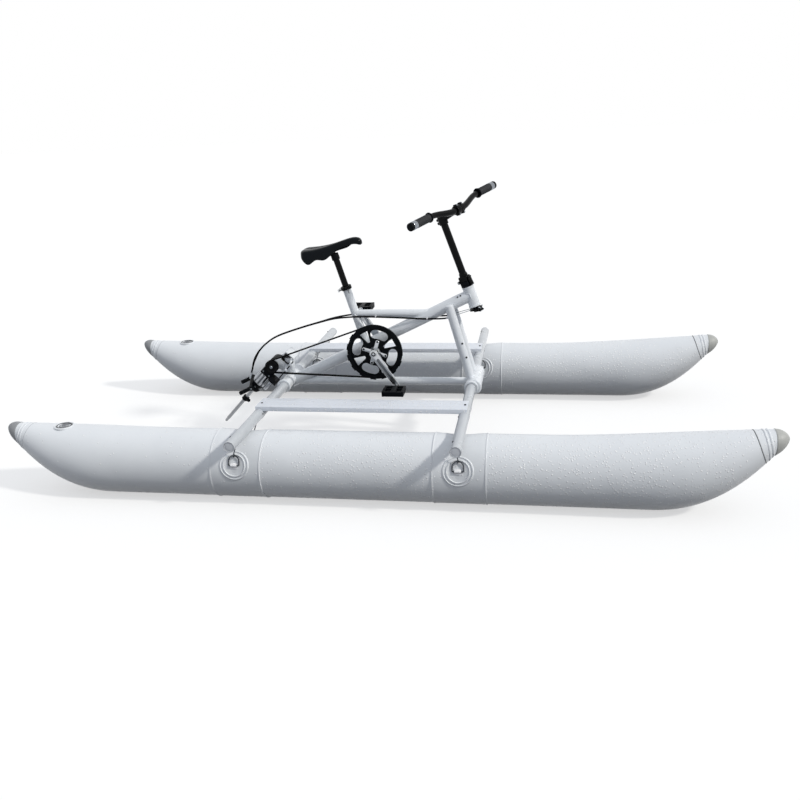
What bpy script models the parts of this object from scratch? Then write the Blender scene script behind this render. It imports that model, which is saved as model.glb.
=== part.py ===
"""Water bike: a bicycle frame on two inflatable pontoons, with a belt drive to a tilting, steered shaft.

Metres, +Z up. +X points to the bow and +Y to the rider's left. The origin is the middle of the footprint,
on the surface that the pontoons rest on.
"""

from math import acos, asin, atan2, cos, exp, pi, radians, sin

import bpy
import bmesh
from mathutils import Matrix, Vector

# Running values
GAP = 0.0003  # between pieces that touch
RUN = 0.0004  # radial clearance of a piece that turns or slides
SIDES = 20  # flats of a turned piece
FLAT = cos(pi / SIDES)  # across-flats share of a turned bore

# Pontoons
LENGTH = 3.0
PONTOON_SPACING = 1.216
PONTOON_DIAMETER = 0.264
PONTOON_WALL = 0.003
PONTOON_SIDES = 20
DECK_RISE_FROM = 0.70  # distance from the middle where the top begins to rise
DECK_RISE = {"bow": 0.050, "stern": 0.018}
KEEL_RISE_FROM = 1.03  # distance from the middle where the bottom begins to rise
KEEL_RISE = {"bow": 0.282, "stern": 0.250}
DECK_POWER = 1.5
KEEL_POWER = 2.3
TIP_LENGTH = 0.052
NOSE_RADIUS = 0.016
NOSE_HEIGHT = {"bow": 0.277, "stern": 0.262}
VALVE_X = -1.25
VALVE_RADIUS = 0.032
VALVE_DEPTH = 0.014
VALVE_PROUD = 0.002
VALVE_CAP_SHARE = 0.62  # the raised cap's radius, of the valve's
VALVE_STEP = 0.004

# Lashing rings on the pontoons and the hooks that hold them
RING_ANGLE = radians(20)  # above the pontoon's waist
RING_SHIFT = {"front": 0.0, "rear": -0.018}  # along the boat from the cross tube
RING_HALF_WIDTH = 0.0205
RING_STRAIGHT = 0.018
RING_WIRE = 0.0025
RING_STAND_OFF = 0.0055
TAB_SIZE = (0.026, 0.016, 0.0145)
TAB_SUNK = 0.004
HOOK_WIRE = 0.002
HOOK_REACH = 0.0056

# Cross tubes, the sleeves that join them, and the foot planks
CROSS_TUBE_X = {"front": 0.356, "rear": -0.476}
CROSS_TUBE_SPAN = 1.60
CROSS_TUBE_DIAMETER = 0.042
CROSS_TUBE_WALL = 0.002
CROSS_TUBE_DENT = 0.0065  # how far the tubes are pulled down into the soft pontoons
DENT_REACH = 0.10
CROSS_TUBE_Z = PONTOON_DIAMETER - CROSS_TUBE_DENT + CROSS_TUBE_DIAMETER / 2 + 0.0005
CROSS_TUBE_INNER_Y = 0.030
SLEEVE_HALF_LENGTH = 0.120
SLEEVE_RADIUS = 0.0265
SLEEVE_COLLAR_RADIUS = 0.030
SLEEVE_COLLAR = 0.014
FRONT_LUG_RADIUS = 0.034  # the fuller front side of the front joint
FRONT_LUG_FORWARD = 0.009
FRONT_LUG_HALF_LENGTH = 0.108
PLANK_Y = 0.410
PLANK_WIDTH = 0.102
PLANK_HEIGHT = 0.020
PLANK_NOTCH = 0.008  # how far the flanges reach down past the top of a cross tube
PLANK_SKIN = 0.003
PLANK_RIB = 0.0012
PLANK_RIB_COUNT = 2
PLANK_OVERHANG = 0.012

# Frame
MAIN_TUBE_DIAMETER = 0.052
MAIN_TUBE_ANGLE = radians(25.5)
FRAME_WALL = 0.0025
HEAD_BOTTOM = Vector((0.369, 0, CROSS_TUBE_Z + 0.329))
HEAD_TILT = radians(19.4)
HEAD_TUBE_LENGTH = 0.092
HEAD_TUBE_DIAMETER = 0.048
HEAD_TUBE_BORE = 0.038
MAIN_TUBE_TOP = 0.052  # where the main tube meets the head tube, up the head tube
SEAT_TUBE_FOOT_X = -0.1138
SEAT_TILT = radians(16.07)
SEAT_TUBE_LENGTH = 0.275
SEAT_TUBE_DIAMETER = 0.036
TOP_TUBE_DIAMETER = 0.036
TOP_TUBE_Z = CROSS_TUBE_Z + 0.299
CENTRE_TUBE_DIAMETER = 0.035
CENTRE_TUBE_DROP = 0.0095  # below the cross tubes' axis
CENTRE_TUBE_START = 0.036  # in front of the rear cross tube, inside the main tube's foot
UPRIGHT_DIAMETER = 0.038
UPRIGHT_TOP = (0.262, CROSS_TUBE_Z + 0.341)
UPRIGHT_Y = MAIN_TUBE_DIAMETER / 2 + UPRIGHT_DIAMETER / 2 + 0.0005

# Crankset
CRANK_AXIS = Vector((-0.064, 0, CROSS_TUBE_Z + 0.145))
BB_SHELL_DIAMETER = 0.046
BB_SHELL_LENGTH = 0.092
BB_BORE_RADIUS = 0.0125
CRANK_LENGTH = 0.172
CRANK_ANGLE = radians(-56.5)  # near crank, from +X towards +Z
CRANK_INNER_Y = 0.088
CRANK_THICKNESS = 0.014
CRANK_ROOT_RADIUS = 0.018
CRANK_TIP_RADIUS = 0.0125
SPIDER_THICKNESS = 0.0045
SPIDER_ARMS = 4
SPIDER_TURN = radians(39)  # of the first arm, past the near crank
SPIDER_REACH = 0.056
SPIDER_ARM_WIDTH = 0.013
PEDAL_SIZE = (0.094, 0.090, 0.024)
PEDAL_Y = 0.172
PEDAL_RIM = 0.012  # of the pedal's cage, at its inner and outer side
PEDAL_WINDOW_X = 0.022
PEDAL_WINDOW_WIDTH = 0.024
PEDAL_PIN_RADIUS = 0.0045

# Belt drive
BELT_Y = -0.070
BELT_WIDTH = 0.012
BELT_THICKNESS = 0.003
PULLEY_RADIUS = 0.121
PULLEY_SEAT = 0.1145
PULLEY_WIDTH = 0.015
PULLEY_WEB = 0.004
PULLEY_BORE = 0.024
PULLEY_RIM_INNER = 0.106
WINDOW_INNER = 0.060
WINDOW_OUTER = 0.101
WINDOW_HALF_SPAN = radians(14)
TRAPEZOID_ENDS = ((0.054, 0.008), (0.088, 0.017))  # distance from the axis, and half width there
PULLEY_SIDES = 32
SMALL_PULLEY_RADIUS = 0.030
SMALL_PULLEY_SEAT = 0.0245
SMALL_PULLEY_WIDTH = 0.016
SMALL_HUB_RADIUS = 0.009
STUB_RADIUS = 0.006

# Drive leg
HUB = Vector((-0.539, 0, CROSS_TUBE_Z + 0.0755))
LEG_ANGLE = radians(46.2)  # below the horizontal, towards the stern
GEARBOX_HALF_WIDTH = 0.027
GEARBOX_HALF_DEPTH = 0.033
GEARBOX_ABOVE_HUB = 0.0285
GEARBOX_BELOW_HUB = 0.0755
TRUNNION_RADIUS = 0.012
CHEEK_INNER_Y = 0.0365
CHEEK_THICKNESS = 0.005
CHEEK_BOSS_RADIUS = 0.019
BRACKET_TUBE_CENTRE = (-0.0633, -0.0268)  # along the leg and across it, from the hub
BRACKET_TUBE_SIZE = (0.048, 0.050)
BRACKET_TUBE_WALL = 0.004
NECK_SIZE = (0.030, 0.060)
STOP_ROD_Y = -0.085
STOP_ROD_ENDS = ((-0.527, CROSS_TUBE_Z + 0.003), (-0.434, CROSS_TUBE_Z + 0.102))
STOP_ROD_RADIUS = 0.0025
STOP_LUGS = (0.62, 0.88)  # places of the two lugs along the stop rod
STOP_LUG_RADIUS = 0.006
STOP_LUG_RISE = 0.016
CATCH_LENGTH = 0.080
CATCH_ACROSS = (-0.052, -0.030)
CATCH_Y = (-0.045, -0.015)
CATCH_TAB = 0.008
LEG_HOUSING_RADIUS = 0.029
LEG_HOUSING_LENGTH = 0.060
LEG_RIBS = 4
SWIVEL_RADIUS = 0.027
SWIVEL_LENGTH = 0.046
SWIVEL_TURN = radians(18)  # the swivel head stands turned with the handlebar
SWIVEL_ARM_SPAN = 0.100
SWIVEL_ARM_ACROSS = 0.025
SWIVEL_ARM_AT = 0.022  # from the top of the swivel head
PRONG_LENGTH = 0.060
PRONG_LEAN = radians(23)
PRONG_RADIUS = 0.007
SHAFT_RADIUS = 0.008
SHAFT_START = 0.095  # from the hub, inside the leg housing
SHAFT_END = 0.405
COLLAR_AT = 0.234
COLLAR_RADIUS = 0.0145
COLLAR_LENGTH = 0.020

# Steering
STEER_ANGLE = radians(32)  # the bar stands turned to the rider's right
JOURNAL_RADIUS = HEAD_TUBE_BORE / 2 * FLAT - RUN
JOURNAL_SPANS = (0.072, 0.016)  # where the upper journal ends and the lower one begins
STEERER_FLANGE_RADIUS = 0.024
STEERER_WAIST = 0.013
STEERER_STUB_RADIUS = 0.012
DISC_TOP = -0.0065
DISC_RADIUS = 0.0285
DISC_THICKNESS = 0.008
BLOCK_SIZE = (0.044, 0.038)
BLOCK_BEVEL = 0.003
BLOCK_FOOT = HEAD_TUBE_LENGTH + 0.0055
BLOCK_SPLIT = HEAD_TUBE_LENGTH + 0.024
BLOCK_TOP = HEAD_TUBE_LENGTH + 0.046
KNUCKLE_RADIUS = 0.0065
FOLD_PIN_RADIUS = 0.003
POST_RADIUS = 0.015
POST_TOP = 0.396
STEM_REACH = 0.099
STEM_COLLAR_RADIUS = 0.0195
STEM_COLLAR_HEIGHT = 0.036
STEM_ARM_RADIUS = 0.013
BAR_RADIUS = 0.0127
BAR_WIDTH = 0.580
BAR_RISE = 0.021
BAR_SWEEP = 0.014
CLAMP_WIDTH = 0.046
CLAMP_WALL = 0.006
GRIP_LENGTH = 0.125
GRIP_RADIUS = 0.0165
GRIP_FLANGE_RADIUS = 0.0205
LATCH_AT = HEAD_TUBE_LENGTH + 0.038
LATCH_LENGTH = 0.038
LATCH_TAIL = 0.002  # above its pin, short enough to clear the block as the lever swings out
LATCH_SECTION = (0.005, 0.020)
CABLE_RADIUS = 0.0025

# Saddle and seat post
SEAT_POST_RADIUS = 0.0136
SEAT_POST_INSERTED = 0.140
SEAT_POST_TOP = 0.413
SEAT_CLAMP_WALL = 0.0055
SEAT_CLAMP_HEIGHT = 0.016
SADDLE_TAIL_X = -0.372
SADDLE_TAIL_Z = CROSS_TUBE_Z + 0.589
SADDLE_LENGTH = 0.266
SADDLE_RISE = 0.070  # of the crown's curve, from tail to nose
SADDLE_NOSE_DROP = 0.043  # where the nose rounds down
SADDLE_WING_DROP = 0.038
RAIL_Y = 0.022
RAIL_TAPER = 0.030
RAIL_DROP = 0.0325
JAW_RADIUS = 0.0095
JAW_DROP = 0.0045  # below the rails
RAIL_RADIUS = 0.0035

# Directions that several pieces share
UP = Vector((0, 0, 1))
LEFT = Vector((0, 1, 0))
HEAD_AXIS = Vector((-sin(HEAD_TILT), 0, cos(HEAD_TILT)))
HEAD_FORWARD = Vector((cos(HEAD_TILT), 0, sin(HEAD_TILT)))
BAR_FORWARD = cos(STEER_ANGLE) * HEAD_FORWARD - sin(STEER_ANGLE) * LEFT
BAR_LEFT = cos(STEER_ANGLE) * LEFT + sin(STEER_ANGLE) * HEAD_FORWARD
LEG_AXIS = Vector((-cos(LEG_ANGLE), 0, -sin(LEG_ANGLE)))
LEG_ACROSS = Vector((-sin(LEG_ANGLE), 0, cos(LEG_ANGLE)))
SEAT_AXIS = Vector((-sin(SEAT_TILT), 0, cos(SEAT_TILT)))
MAIN_AXIS = Vector((cos(MAIN_TUBE_ANGLE), 0, sin(MAIN_TUBE_ANGLE)))
MAIN_TOP = HEAD_BOTTOM + HEAD_AXIS * MAIN_TUBE_TOP


def main_tube_at(x):
    """Point of the main tube's axis at x."""
    return MAIN_TOP + MAIN_AXIS * ((x - MAIN_TOP.x) / MAIN_AXIS.x)


def main_tube_at_height(z):
    return MAIN_TOP + MAIN_AXIS * ((z - MAIN_TOP.z) / MAIN_AXIS.z)


def on_leg(along, across=0.0, y=0.0):
    return HUB + LEG_AXIS * along + LEG_ACROSS * across + LEFT * y


def on_bar(forward, left, up):
    """Point in the turned handlebar's frame, from the bottom of the head tube."""
    return HEAD_BOTTOM + BAR_FORWARD * forward + BAR_LEFT * left + HEAD_AXIS * up


SEAT_FOOT = main_tube_at(SEAT_TUBE_FOOT_X)
SEAT_TUBE_TOP = SEAT_FOOT + SEAT_AXIS * SEAT_TUBE_LENGTH
SLEEVE_CENTRES = {end: Vector((x, 0, CROSS_TUBE_Z)) for end, x in CROSS_TUBE_X.items()}
SIDE_SIGN = {"right": -1, "left": 1}
STOP_LOW, STOP_HIGH = (Vector((x, STOP_ROD_Y, z)) for x, z in STOP_ROD_ENDS)
STOP_ALONG = (STOP_LOW - HUB).dot(LEG_AXIS)
STOP_ACROSS = (STOP_LOW - HUB).dot(LEG_ACROSS)

for leftover in list(bpy.data.objects):
    bpy.data.objects.remove(leftover)
parts = bpy.data.collections.new("water bike")
cutters = bpy.data.collections.new("cutters")
for collection in (parts, cutters):
    bpy.context.scene.collection.children.link(collection)


def material(name, colour, roughness, metallic=0.0):
    made = bpy.data.materials.new(name)
    made.use_nodes = True
    shader = made.node_tree.nodes["Principled BSDF"]
    shader.inputs["Base Color"].default_value = (*colour, 1)
    shader.inputs["Roughness"].default_value = roughness
    shader.inputs["Metallic"].default_value = metallic
    return made


WHITE_PVC = material("white PVC fabric", (0.80, 0.81, 0.83), 0.5)
GREY_RUBBER = material("grey rubber", (0.32, 0.33, 0.32), 0.7)
WHITE_PAINT = material("white paint", (0.78, 0.78, 0.80), 0.35)
ALUMINIUM = material("white aluminium plank", (0.75, 0.76, 0.78), 0.4, 0.3)
STEEL = material("stainless steel", (0.55, 0.56, 0.58), 0.25, 1.0)
SILVER = material("polished alloy", (0.70, 0.71, 0.72), 0.3, 1.0)
BLACK_METAL = material("black anodised alloy", (0.02, 0.02, 0.022), 0.4, 0.3)
BLACK_PLASTIC = material("black moulded plastic", (0.015, 0.015, 0.016), 0.5)
BLACK_RUBBER = material("black rubber", (0.018, 0.018, 0.018), 0.75)
GRIP_RUBBER = material("grey grip rubber", (0.08, 0.08, 0.085), 0.8)


def along(origin, direction, side=None):
    """Matrix whose Z runs along direction; its X leans towards side, or else towards the rider's left."""
    z = Vector(direction).normalized()
    x = Vector(side) if side is not None else LEFT
    if abs(x.normalized().dot(z)) > 0.99:
        x = UP
    x = (x - z * x.dot(z)).normalized()
    turn = Matrix((x, z.cross(x), z)).transposed()
    return Matrix.Translation(origin) @ turn.to_4x4()


def placed(name, data, finish, matrix, smooth=True):
    made = bpy.data.objects.new(name, data)
    made.matrix_world = matrix
    if finish is None:
        cutters.objects.link(made)
        made.hide_render = True
        made.display_type = "WIRE"
        return made
    parts.objects.link(made)
    data.materials.append(finish)
    if smooth and isinstance(data, bpy.types.Mesh):
        data.shade_smooth()
        data.set_sharp_from_angle(angle=radians(35))
    return made


def mesh_from(bm, name):
    mesh = bpy.data.meshes.new(name)
    bm.to_mesh(mesh)
    bm.free()
    return mesh


def turned(name, profile, finish, matrix, closed=False, sides=SIDES):
    """A profile of (radius, height) turned about Z, given down its outer side from the top."""
    bm = bmesh.new()
    points = [bm.verts.new((radius, 0, height)) for radius, height in profile]
    for first, second in zip(points, points[1:]):
        bm.edges.new((first, second))
    if closed:
        bm.edges.new((points[-1], points[0]))
    made = placed(name, mesh_from(bm, name), finish, matrix, smooth=False)
    screw = made.modifiers.new("turn", "SCREW")
    screw.steps = sides
    screw.render_steps = sides
    screw.use_merge_vertices = True
    screw.merge_threshold = 0.00001
    return made


def rod(name, start, end, radius, finish=None, sides=SIDES):
    """A solid round rod between two points; with no finish it is a cutter."""
    start, end = Vector(start), Vector(end)
    length = (end - start).length
    profile = [(0, length), (radius, length), (radius, 0), (0, 0)]
    return turned(name, profile, finish, along(start, end - start), sides=sides)


def pipe(name, start, end, radius, bore, finish):
    start, end = Vector(start), Vector(end)
    length = (end - start).length
    profile = [(radius, length), (radius, 0), (bore, 0), (bore, length)]
    return turned(name, profile, finish, along(start, end - start), closed=True)


def box(name, size, matrix, finish=None, bevel=0.0):
    bm = bmesh.new()
    bmesh.ops.create_cube(bm, size=1.0, matrix=Matrix.Diagonal((*size, 1)))
    made = placed(name, mesh_from(bm, name), finish, matrix, smooth=False)
    if bevel:
        rounding = made.modifiers.new("rounding", "BEVEL")
        rounding.width = bevel
        rounding.segments = 2
    return made


def plate(name, outlines, thickness, finish, matrix):
    """Flat closed outlines in the local XY plane, made thick both ways along Z and turned into a mesh."""
    curve = bpy.data.curves.new(name, "CURVE")
    curve.dimensions = "2D"
    curve.fill_mode = "BOTH"
    curve.extrude = thickness / 2
    for outline in outlines:
        spline = curve.splines.new("POLY")
        spline.points.add(len(outline) - 1)
        for point, (x, y) in zip(spline.points, outline):
            point.co = (x, y, 0, 1)
        spline.use_cyclic_u = True
    return meshed(name, curve, finish, matrix)


def wire(name, points, radius, finish, cyclic=False, resolution=1):
    """A round wire through points in world space, turned into a mesh."""
    curve = bpy.data.curves.new(name, "CURVE")
    curve.dimensions = "3D"
    curve.bevel_depth = radius
    curve.bevel_resolution = resolution
    curve.use_fill_caps = True
    spline = curve.splines.new("POLY")
    spline.points.add(len(points) - 1)
    for point, place in zip(spline.points, points):
        point.co = (*place, 1)
    spline.use_cyclic_u = cyclic
    return meshed(name, curve, finish, Matrix.Identity(4))


def meshed(name, curve, finish, matrix):
    guide = bpy.data.objects.new(name + " curve", curve)
    bpy.context.scene.collection.objects.link(guide)
    graph = bpy.context.evaluated_depsgraph_get()
    mesh = bpy.data.meshes.new_from_object(guide.evaluated_get(graph))
    bpy.data.objects.remove(guide)
    bm = bmesh.new()
    bm.from_mesh(mesh)
    bmesh.ops.remove_doubles(bm, verts=bm.verts, dist=0.00001)
    bmesh.ops.recalc_face_normals(bm, faces=bm.faces)
    bm.to_mesh(mesh)
    bm.free()
    return placed(name, mesh, finish, matrix)


def boolean(target, other, operation):
    step = target.modifiers.new(operation.lower(), "BOOLEAN")
    step.object = other
    step.operation = operation
    return target


def cut(target, *others):
    for other in others:
        boolean(target, other, "DIFFERENCE")
    return target


def join(target, *others):
    for other in others:
        boolean(target, other, "UNION")
    return target


def arc(centre, radius, start, end, steps):
    """Points of an arc in a plane; the angles are in radians."""
    turns = [start + (end - start) * i / steps for i in range(steps + 1)]
    return [(centre[0] + radius * cos(t), centre[1] + radius * sin(t)) for t in turns]


def smooth_route(points, steps):
    """A smooth curve through points (Catmull-Rom), with the given steps between each two."""
    ends = [Vector(points[0]) * 2 - Vector(points[1]), Vector(points[-1]) * 2 - Vector(points[-2])]
    line = [ends[0], *(Vector(p) for p in points), ends[1]]
    route = []
    for before, here, there, after in zip(line, line[1:], line[2:], line[3:]):
        for i in range(steps):
            t = i / steps
            route.append(
                here
                + (there - before) * (t / 2)
                + (before * 2 - here * 5 + there * 4 - after) * (t * t / 2)
                + (here * 3 - before - there * 3 + after) * (t * t * t / 2)
            )
    route.append(Vector(points[-1]))
    return route


# Pontoons, their end caps and their air valves


def pontoon_section(x):
    """Height of the centre and radius of a pontoon's round section at x."""
    end = "bow" if x > 0 else "stern"
    half = LENGTH / 2
    keel_share = max(0.0, (abs(x) - KEEL_RISE_FROM) / (half - KEEL_RISE_FROM))
    deck_share = max(0.0, (abs(x) - DECK_RISE_FROM) / (half - DECK_RISE_FROM))
    keel = KEEL_RISE[end] * keel_share**KEEL_POWER
    deck = PONTOON_DIAMETER + DECK_RISE[end] * deck_share**DECK_POWER
    for tube_x in CROSS_TUBE_X.values():
        nearness = max(0.0, 1 - ((x - tube_x) / DENT_REACH) ** 2)
        deck -= CROSS_TUBE_DENT * nearness**2
    return (deck + keel) / 2, (deck - keel) / 2


def ring_points(x, y, z, radius):
    angles = [2 * pi * i / PONTOON_SIDES - pi / 2 for i in range(PONTOON_SIDES)]
    return [(x, y + radius * cos(a), z + radius * sin(a)) for a in angles]


def loft(name, rings, finish, loop):
    """A skin through rings of equal count: closed on itself as a loop, or capped at both ends."""
    bm = bmesh.new()
    rows = [[bm.verts.new(p) for p in ring] for ring in rings]
    pairs = list(zip(rows, rows[1:] + rows[:1] if loop else rows[1:]))
    for first, second in pairs:
        for i in range(len(first)):
            j = (i + 1) % len(first)
            bm.faces.new((first[i], first[j], second[j], second[i]))
    if not loop:
        bm.faces.new(rows[0])
        bm.faces.new(list(reversed(rows[-1])))
    bmesh.ops.recalc_face_normals(bm, faces=bm.faces)
    return placed(name, mesh_from(bm, name), finish, Matrix.Identity(4))


def pontoon_stations():
    """Places along a pontoon, close together where it curves and under the cross tubes."""
    end = LENGTH / 2 - TIP_LENGTH
    rising = [DECK_RISE_FROM + (KEEL_RISE_FROM - DECK_RISE_FROM) * i / 2 for i in range(2)]
    curving = [KEEL_RISE_FROM + (end - KEEL_RISE_FROM) * i / 6 for i in range(7)]
    half = rising + curving
    dents = [tube_x + DENT_REACH * shift for tube_x in CROSS_TUBE_X.values() for shift in (-0.6, 0, 0.6)]
    return sorted([-x for x in half] + half + dents)


def lashing_frame(end, side, face):
    """Matrix on the pontoon's skin: X along the boat, Y up the skin, Z outwards."""
    outward = SIDE_SIGN[side] * (1 if face == "outer" else -1)
    normal = Vector((0, outward * cos(RING_ANGLE), sin(RING_ANGLE)))
    x = CROSS_TUBE_X[end] + RING_SHIFT[end]
    z, radius = pontoon_section(x)
    centre = Vector((x, SIDE_SIGN[side] * PONTOON_SPACING / 2, z))
    up_skin = Vector((0, -outward * sin(RING_ANGLE), cos(RING_ANGLE)))
    along_boat = up_skin.cross(normal)
    turn = Matrix((along_boat, up_skin, normal)).transposed()
    return Matrix.Translation(centre + normal * radius) @ turn.to_4x4()


def make_pontoon(side):
    y = SIDE_SIGN[side] * PONTOON_SPACING / 2
    sections = [(x, *pontoon_section(x)) for x in pontoon_stations()]
    outer = [ring_points(x, y, z, radius) for x, z, radius in sections]
    inner = [ring_points(x, y, z, radius - PONTOON_WALL) for x, z, radius in reversed(sections)]
    pontoon = loft(f"pontoon_{side}", outer + inner, WHITE_PVC, loop=True)
    deck = sum(pontoon_section(VALVE_X))
    bottom = Vector((VALVE_X, y, deck - 2 * VALVE_DEPTH))
    cut(pontoon, rod("valve hole", bottom, bottom + UP * 4 * VALVE_DEPTH, VALVE_RADIUS + GAP))
    for end in CROSS_TUBE_X:
        for face in ("outer", "inner"):
            skin = lashing_frame(end, side, face)
            middle = Matrix.Translation((0, 0, TAB_SIZE[2] / 2 - TAB_SUNK))
            tab = box(f"tab {end} {face}", TAB_SIZE, skin @ middle)
            reach = Vector((TAB_SIZE[0], 0, RING_STAND_OFF))
            start = skin @ Vector((-reach.x, 0, reach.z))
            eye = rod(f"eye {end} {face}", start, skin @ reach, RING_WIRE + GAP, sides=8)
            join(pontoon, tab)
            cut(pontoon, eye)


def make_tip(end, side):
    """Moulded cap on a pontoon's end: a cone with a round nose."""
    sign = 1 if end == "bow" else -1
    y = SIDE_SIGN[side] * PONTOON_SPACING / 2
    base_x = LENGTH / 2 - TIP_LENGTH
    base_z, base_radius = pontoon_section(sign * base_x)
    nose_z = NOSE_HEIGHT[end]
    rings = [ring_points(sign * (base_x + GAP), y, base_z, base_radius)]
    for step in range(5):
        turn = step / 4 * pi / 2 * 0.92
        x = LENGTH / 2 - NOSE_RADIUS * (1 - sin(turn))
        share = (x - base_x) / TIP_LENGTH
        z = base_z + (nose_z - base_z) * share
        rings.append(ring_points(sign * x, y, z, NOSE_RADIUS * cos(turn)))
    rings.append(ring_points(sign * LENGTH / 2, y, nose_z, NOSE_RADIUS / 12))
    loft(f"tip_cap_{end}_{side}", rings, GREY_RUBBER, loop=False)


def make_valve(side):
    y = SIDE_SIGN[side] * PONTOON_SPACING / 2
    top = sum(pontoon_section(VALVE_X)) + VALVE_PROUD
    cap = VALVE_RADIUS * VALVE_CAP_SHARE
    profile = [
        (0, 0), (cap, 0), (cap, -VALVE_STEP), (VALVE_RADIUS, -VALVE_STEP),
        (VALVE_RADIUS, -VALVE_DEPTH), (0, -VALVE_DEPTH),
    ]
    turned(f"air_valve_{side}", profile, GREY_RUBBER, Matrix.Translation((VALVE_X, y, top)))


def make_lashing_ring(end, side, face):
    skin = lashing_frame(end, side, face)
    bend = arc((0, RING_STRAIGHT), RING_HALF_WIDTH, 0, pi, 8)
    outline = [(RING_HALF_WIDTH, 0), *bend, (-RING_HALF_WIDTH, 0)]
    points = [skin @ Vector((x, y, RING_STAND_OFF)) for x, y in outline]
    wire(f"lashing_ring_{end}_{side}_{face}", points, RING_WIRE, STEEL, cyclic=True)


# Cross tubes, sleeves, planks and the tubes that stand on them


def hook_points(end, side, face):
    """A J under the cross tube, round the top of the lashing ring."""
    top = lashing_frame(end, side, face) @ Vector((0, RING_STRAIGHT + RING_HALF_WIDTH, RING_STAND_OFF))
    outward = SIDE_SIGN[side] * (1 if face == "outer" else -1)
    tube_bottom = CROSS_TUBE_Z - CROSS_TUBE_DIAMETER / 2
    start = Vector((CROSS_TUBE_X[end], top.y + outward * HOOK_REACH, tube_bottom + 0.0012))
    curl = arc((0, 0), HOOK_REACH, 0, -pi, 6)
    bend = [Vector((top.x, top.y + outward * y, top.z + z)) for y, z in curl]
    return [start, *bend, bend[-1] + UP * 0.003]


def make_cross_tube(end, side):
    sign = SIDE_SIGN[side]
    radius = CROSS_TUBE_DIAMETER / 2
    bore = radius - CROSS_TUBE_WALL
    length = CROSS_TUBE_SPAN / 2 - CROSS_TUBE_INNER_Y
    lid = length - 2 * CROSS_TUBE_WALL
    profile = [(0, length), (radius, length), (radius, 0), (bore, 0), (bore, lid), (0, lid)]
    start = SLEEVE_CENTRES[end] + LEFT * sign * CROSS_TUBE_INNER_Y
    tube = turned(f"cross_tube_{end}_{side}", profile, WHITE_PAINT, along(start, LEFT * sign, UP))
    for face in ("outer", "inner"):
        points = hook_points(end, side, face)
        hook = wire(f"hook {end} {side} {face}", points, HOOK_WIRE, None)
        join(tube, hook)


def sleeve_profile(extra=0.0):
    """Outer side of a cross-tube sleeve, with a collar at each end."""
    half = SLEEVE_HALF_LENGTH + extra
    collar, barrel = SLEEVE_COLLAR_RADIUS + extra, SLEEVE_RADIUS + extra
    foot = half - SLEEVE_COLLAR
    upper = [(collar, half), (collar, foot), (barrel, foot - 0.003)]
    return upper + [(radius, -height) for radius, height in reversed(upper)]


def sleeve_cutter(end):
    shape = sleeve_profile(GAP)
    shape = [(0, shape[0][1]), *shape, (0, shape[-1][1])]
    return turned(f"sleeve cut {end}", shape, None, along(SLEEVE_CENTRES[end], LEFT, UP))


def make_sleeve(end):
    bore = (CROSS_TUBE_DIAMETER / 2 + GAP) / FLAT
    shape = [(0, SLEEVE_HALF_LENGTH), *sleeve_profile(), (0, -SLEEVE_HALF_LENGTH)]
    joint = turned(f"{end}_joint", shape, WHITE_PAINT, along(SLEEVE_CENTRES[end], LEFT, UP))
    if end == "front":
        join(joint, front_lug())
    reach = LEFT * SLEEVE_HALF_LENGTH * 1.1
    cut(joint, rod(f"{end} joint bore", SLEEVE_CENTRES[end] - reach, SLEEVE_CENTRES[end] + reach, bore))


def front_lug(extra=0.0):
    """The fuller front of the front joint; with extra it is a cutter for what meets it."""
    centre = SLEEVE_CENTRES["front"] + Vector((FRONT_LUG_FORWARD, 0, 0))
    half = LEFT * (FRONT_LUG_HALF_LENGTH + extra)
    return rod(f"front lug {extra}", centre - half, centre + half, FRONT_LUG_RADIUS + extra)


def plank_outline():
    """Section of a foot plank: a channel with shallow ribs along its top."""
    half = PLANK_WIDTH / 2
    skin = PLANK_SKIN
    bottom = -PLANK_HEIGHT / 2
    top = PLANK_HEIGHT / 2 - PLANK_RIB
    outline = [(-half, bottom), (-half, top)]
    pitch = PLANK_WIDTH / (PLANK_RIB_COUNT + 1)
    for i in range(PLANK_RIB_COUNT):
        centre = -half + pitch * (i + 1)
        width = pitch * 0.18
        shape = [(-width, 0), (-width * 0.6, PLANK_RIB), (width * 0.6, PLANK_RIB), (width, 0)]
        outline += [(centre + x, top + z) for x, z in shape]
    outline += [(half, top), (half, bottom), (half - skin, bottom)]
    return outline + [(half - skin, top - skin), (-half + skin, top - skin), (-half + skin, bottom)]


def make_plank(side):
    rear, front = CROSS_TUBE_X["rear"], CROSS_TUBE_X["front"]
    length = front - rear + 2 * PLANK_OVERHANG
    z = CROSS_TUBE_Z + CROSS_TUBE_DIAMETER / 2 + PLANK_HEIGHT / 2 - PLANK_NOTCH
    centre = Vector(((rear + front) / 2, SIDE_SIGN[side] * PLANK_Y, z))
    lie = Matrix(((0, 0, 1), (1, 0, 0), (0, 1, 0))).to_4x4()
    place = Matrix.Translation(centre) @ lie
    plank = plate(f"foot_plank_{side}", [plank_outline()], length, ALUMINIUM, place)
    for x in (rear, front):
        axis = Vector((x, centre.y, CROSS_TUBE_Z))
        reach = LEFT * PLANK_WIDTH
        cut(plank, rod(f"notch {side} {x}", axis - reach, axis + reach, CROSS_TUBE_DIAMETER / 2 + GAP))


def frame_tube(name, start, end, diameter):
    return pipe(name, start, end, diameter / 2, diameter / 2 - FRAME_WALL, WHITE_PAINT)


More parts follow.
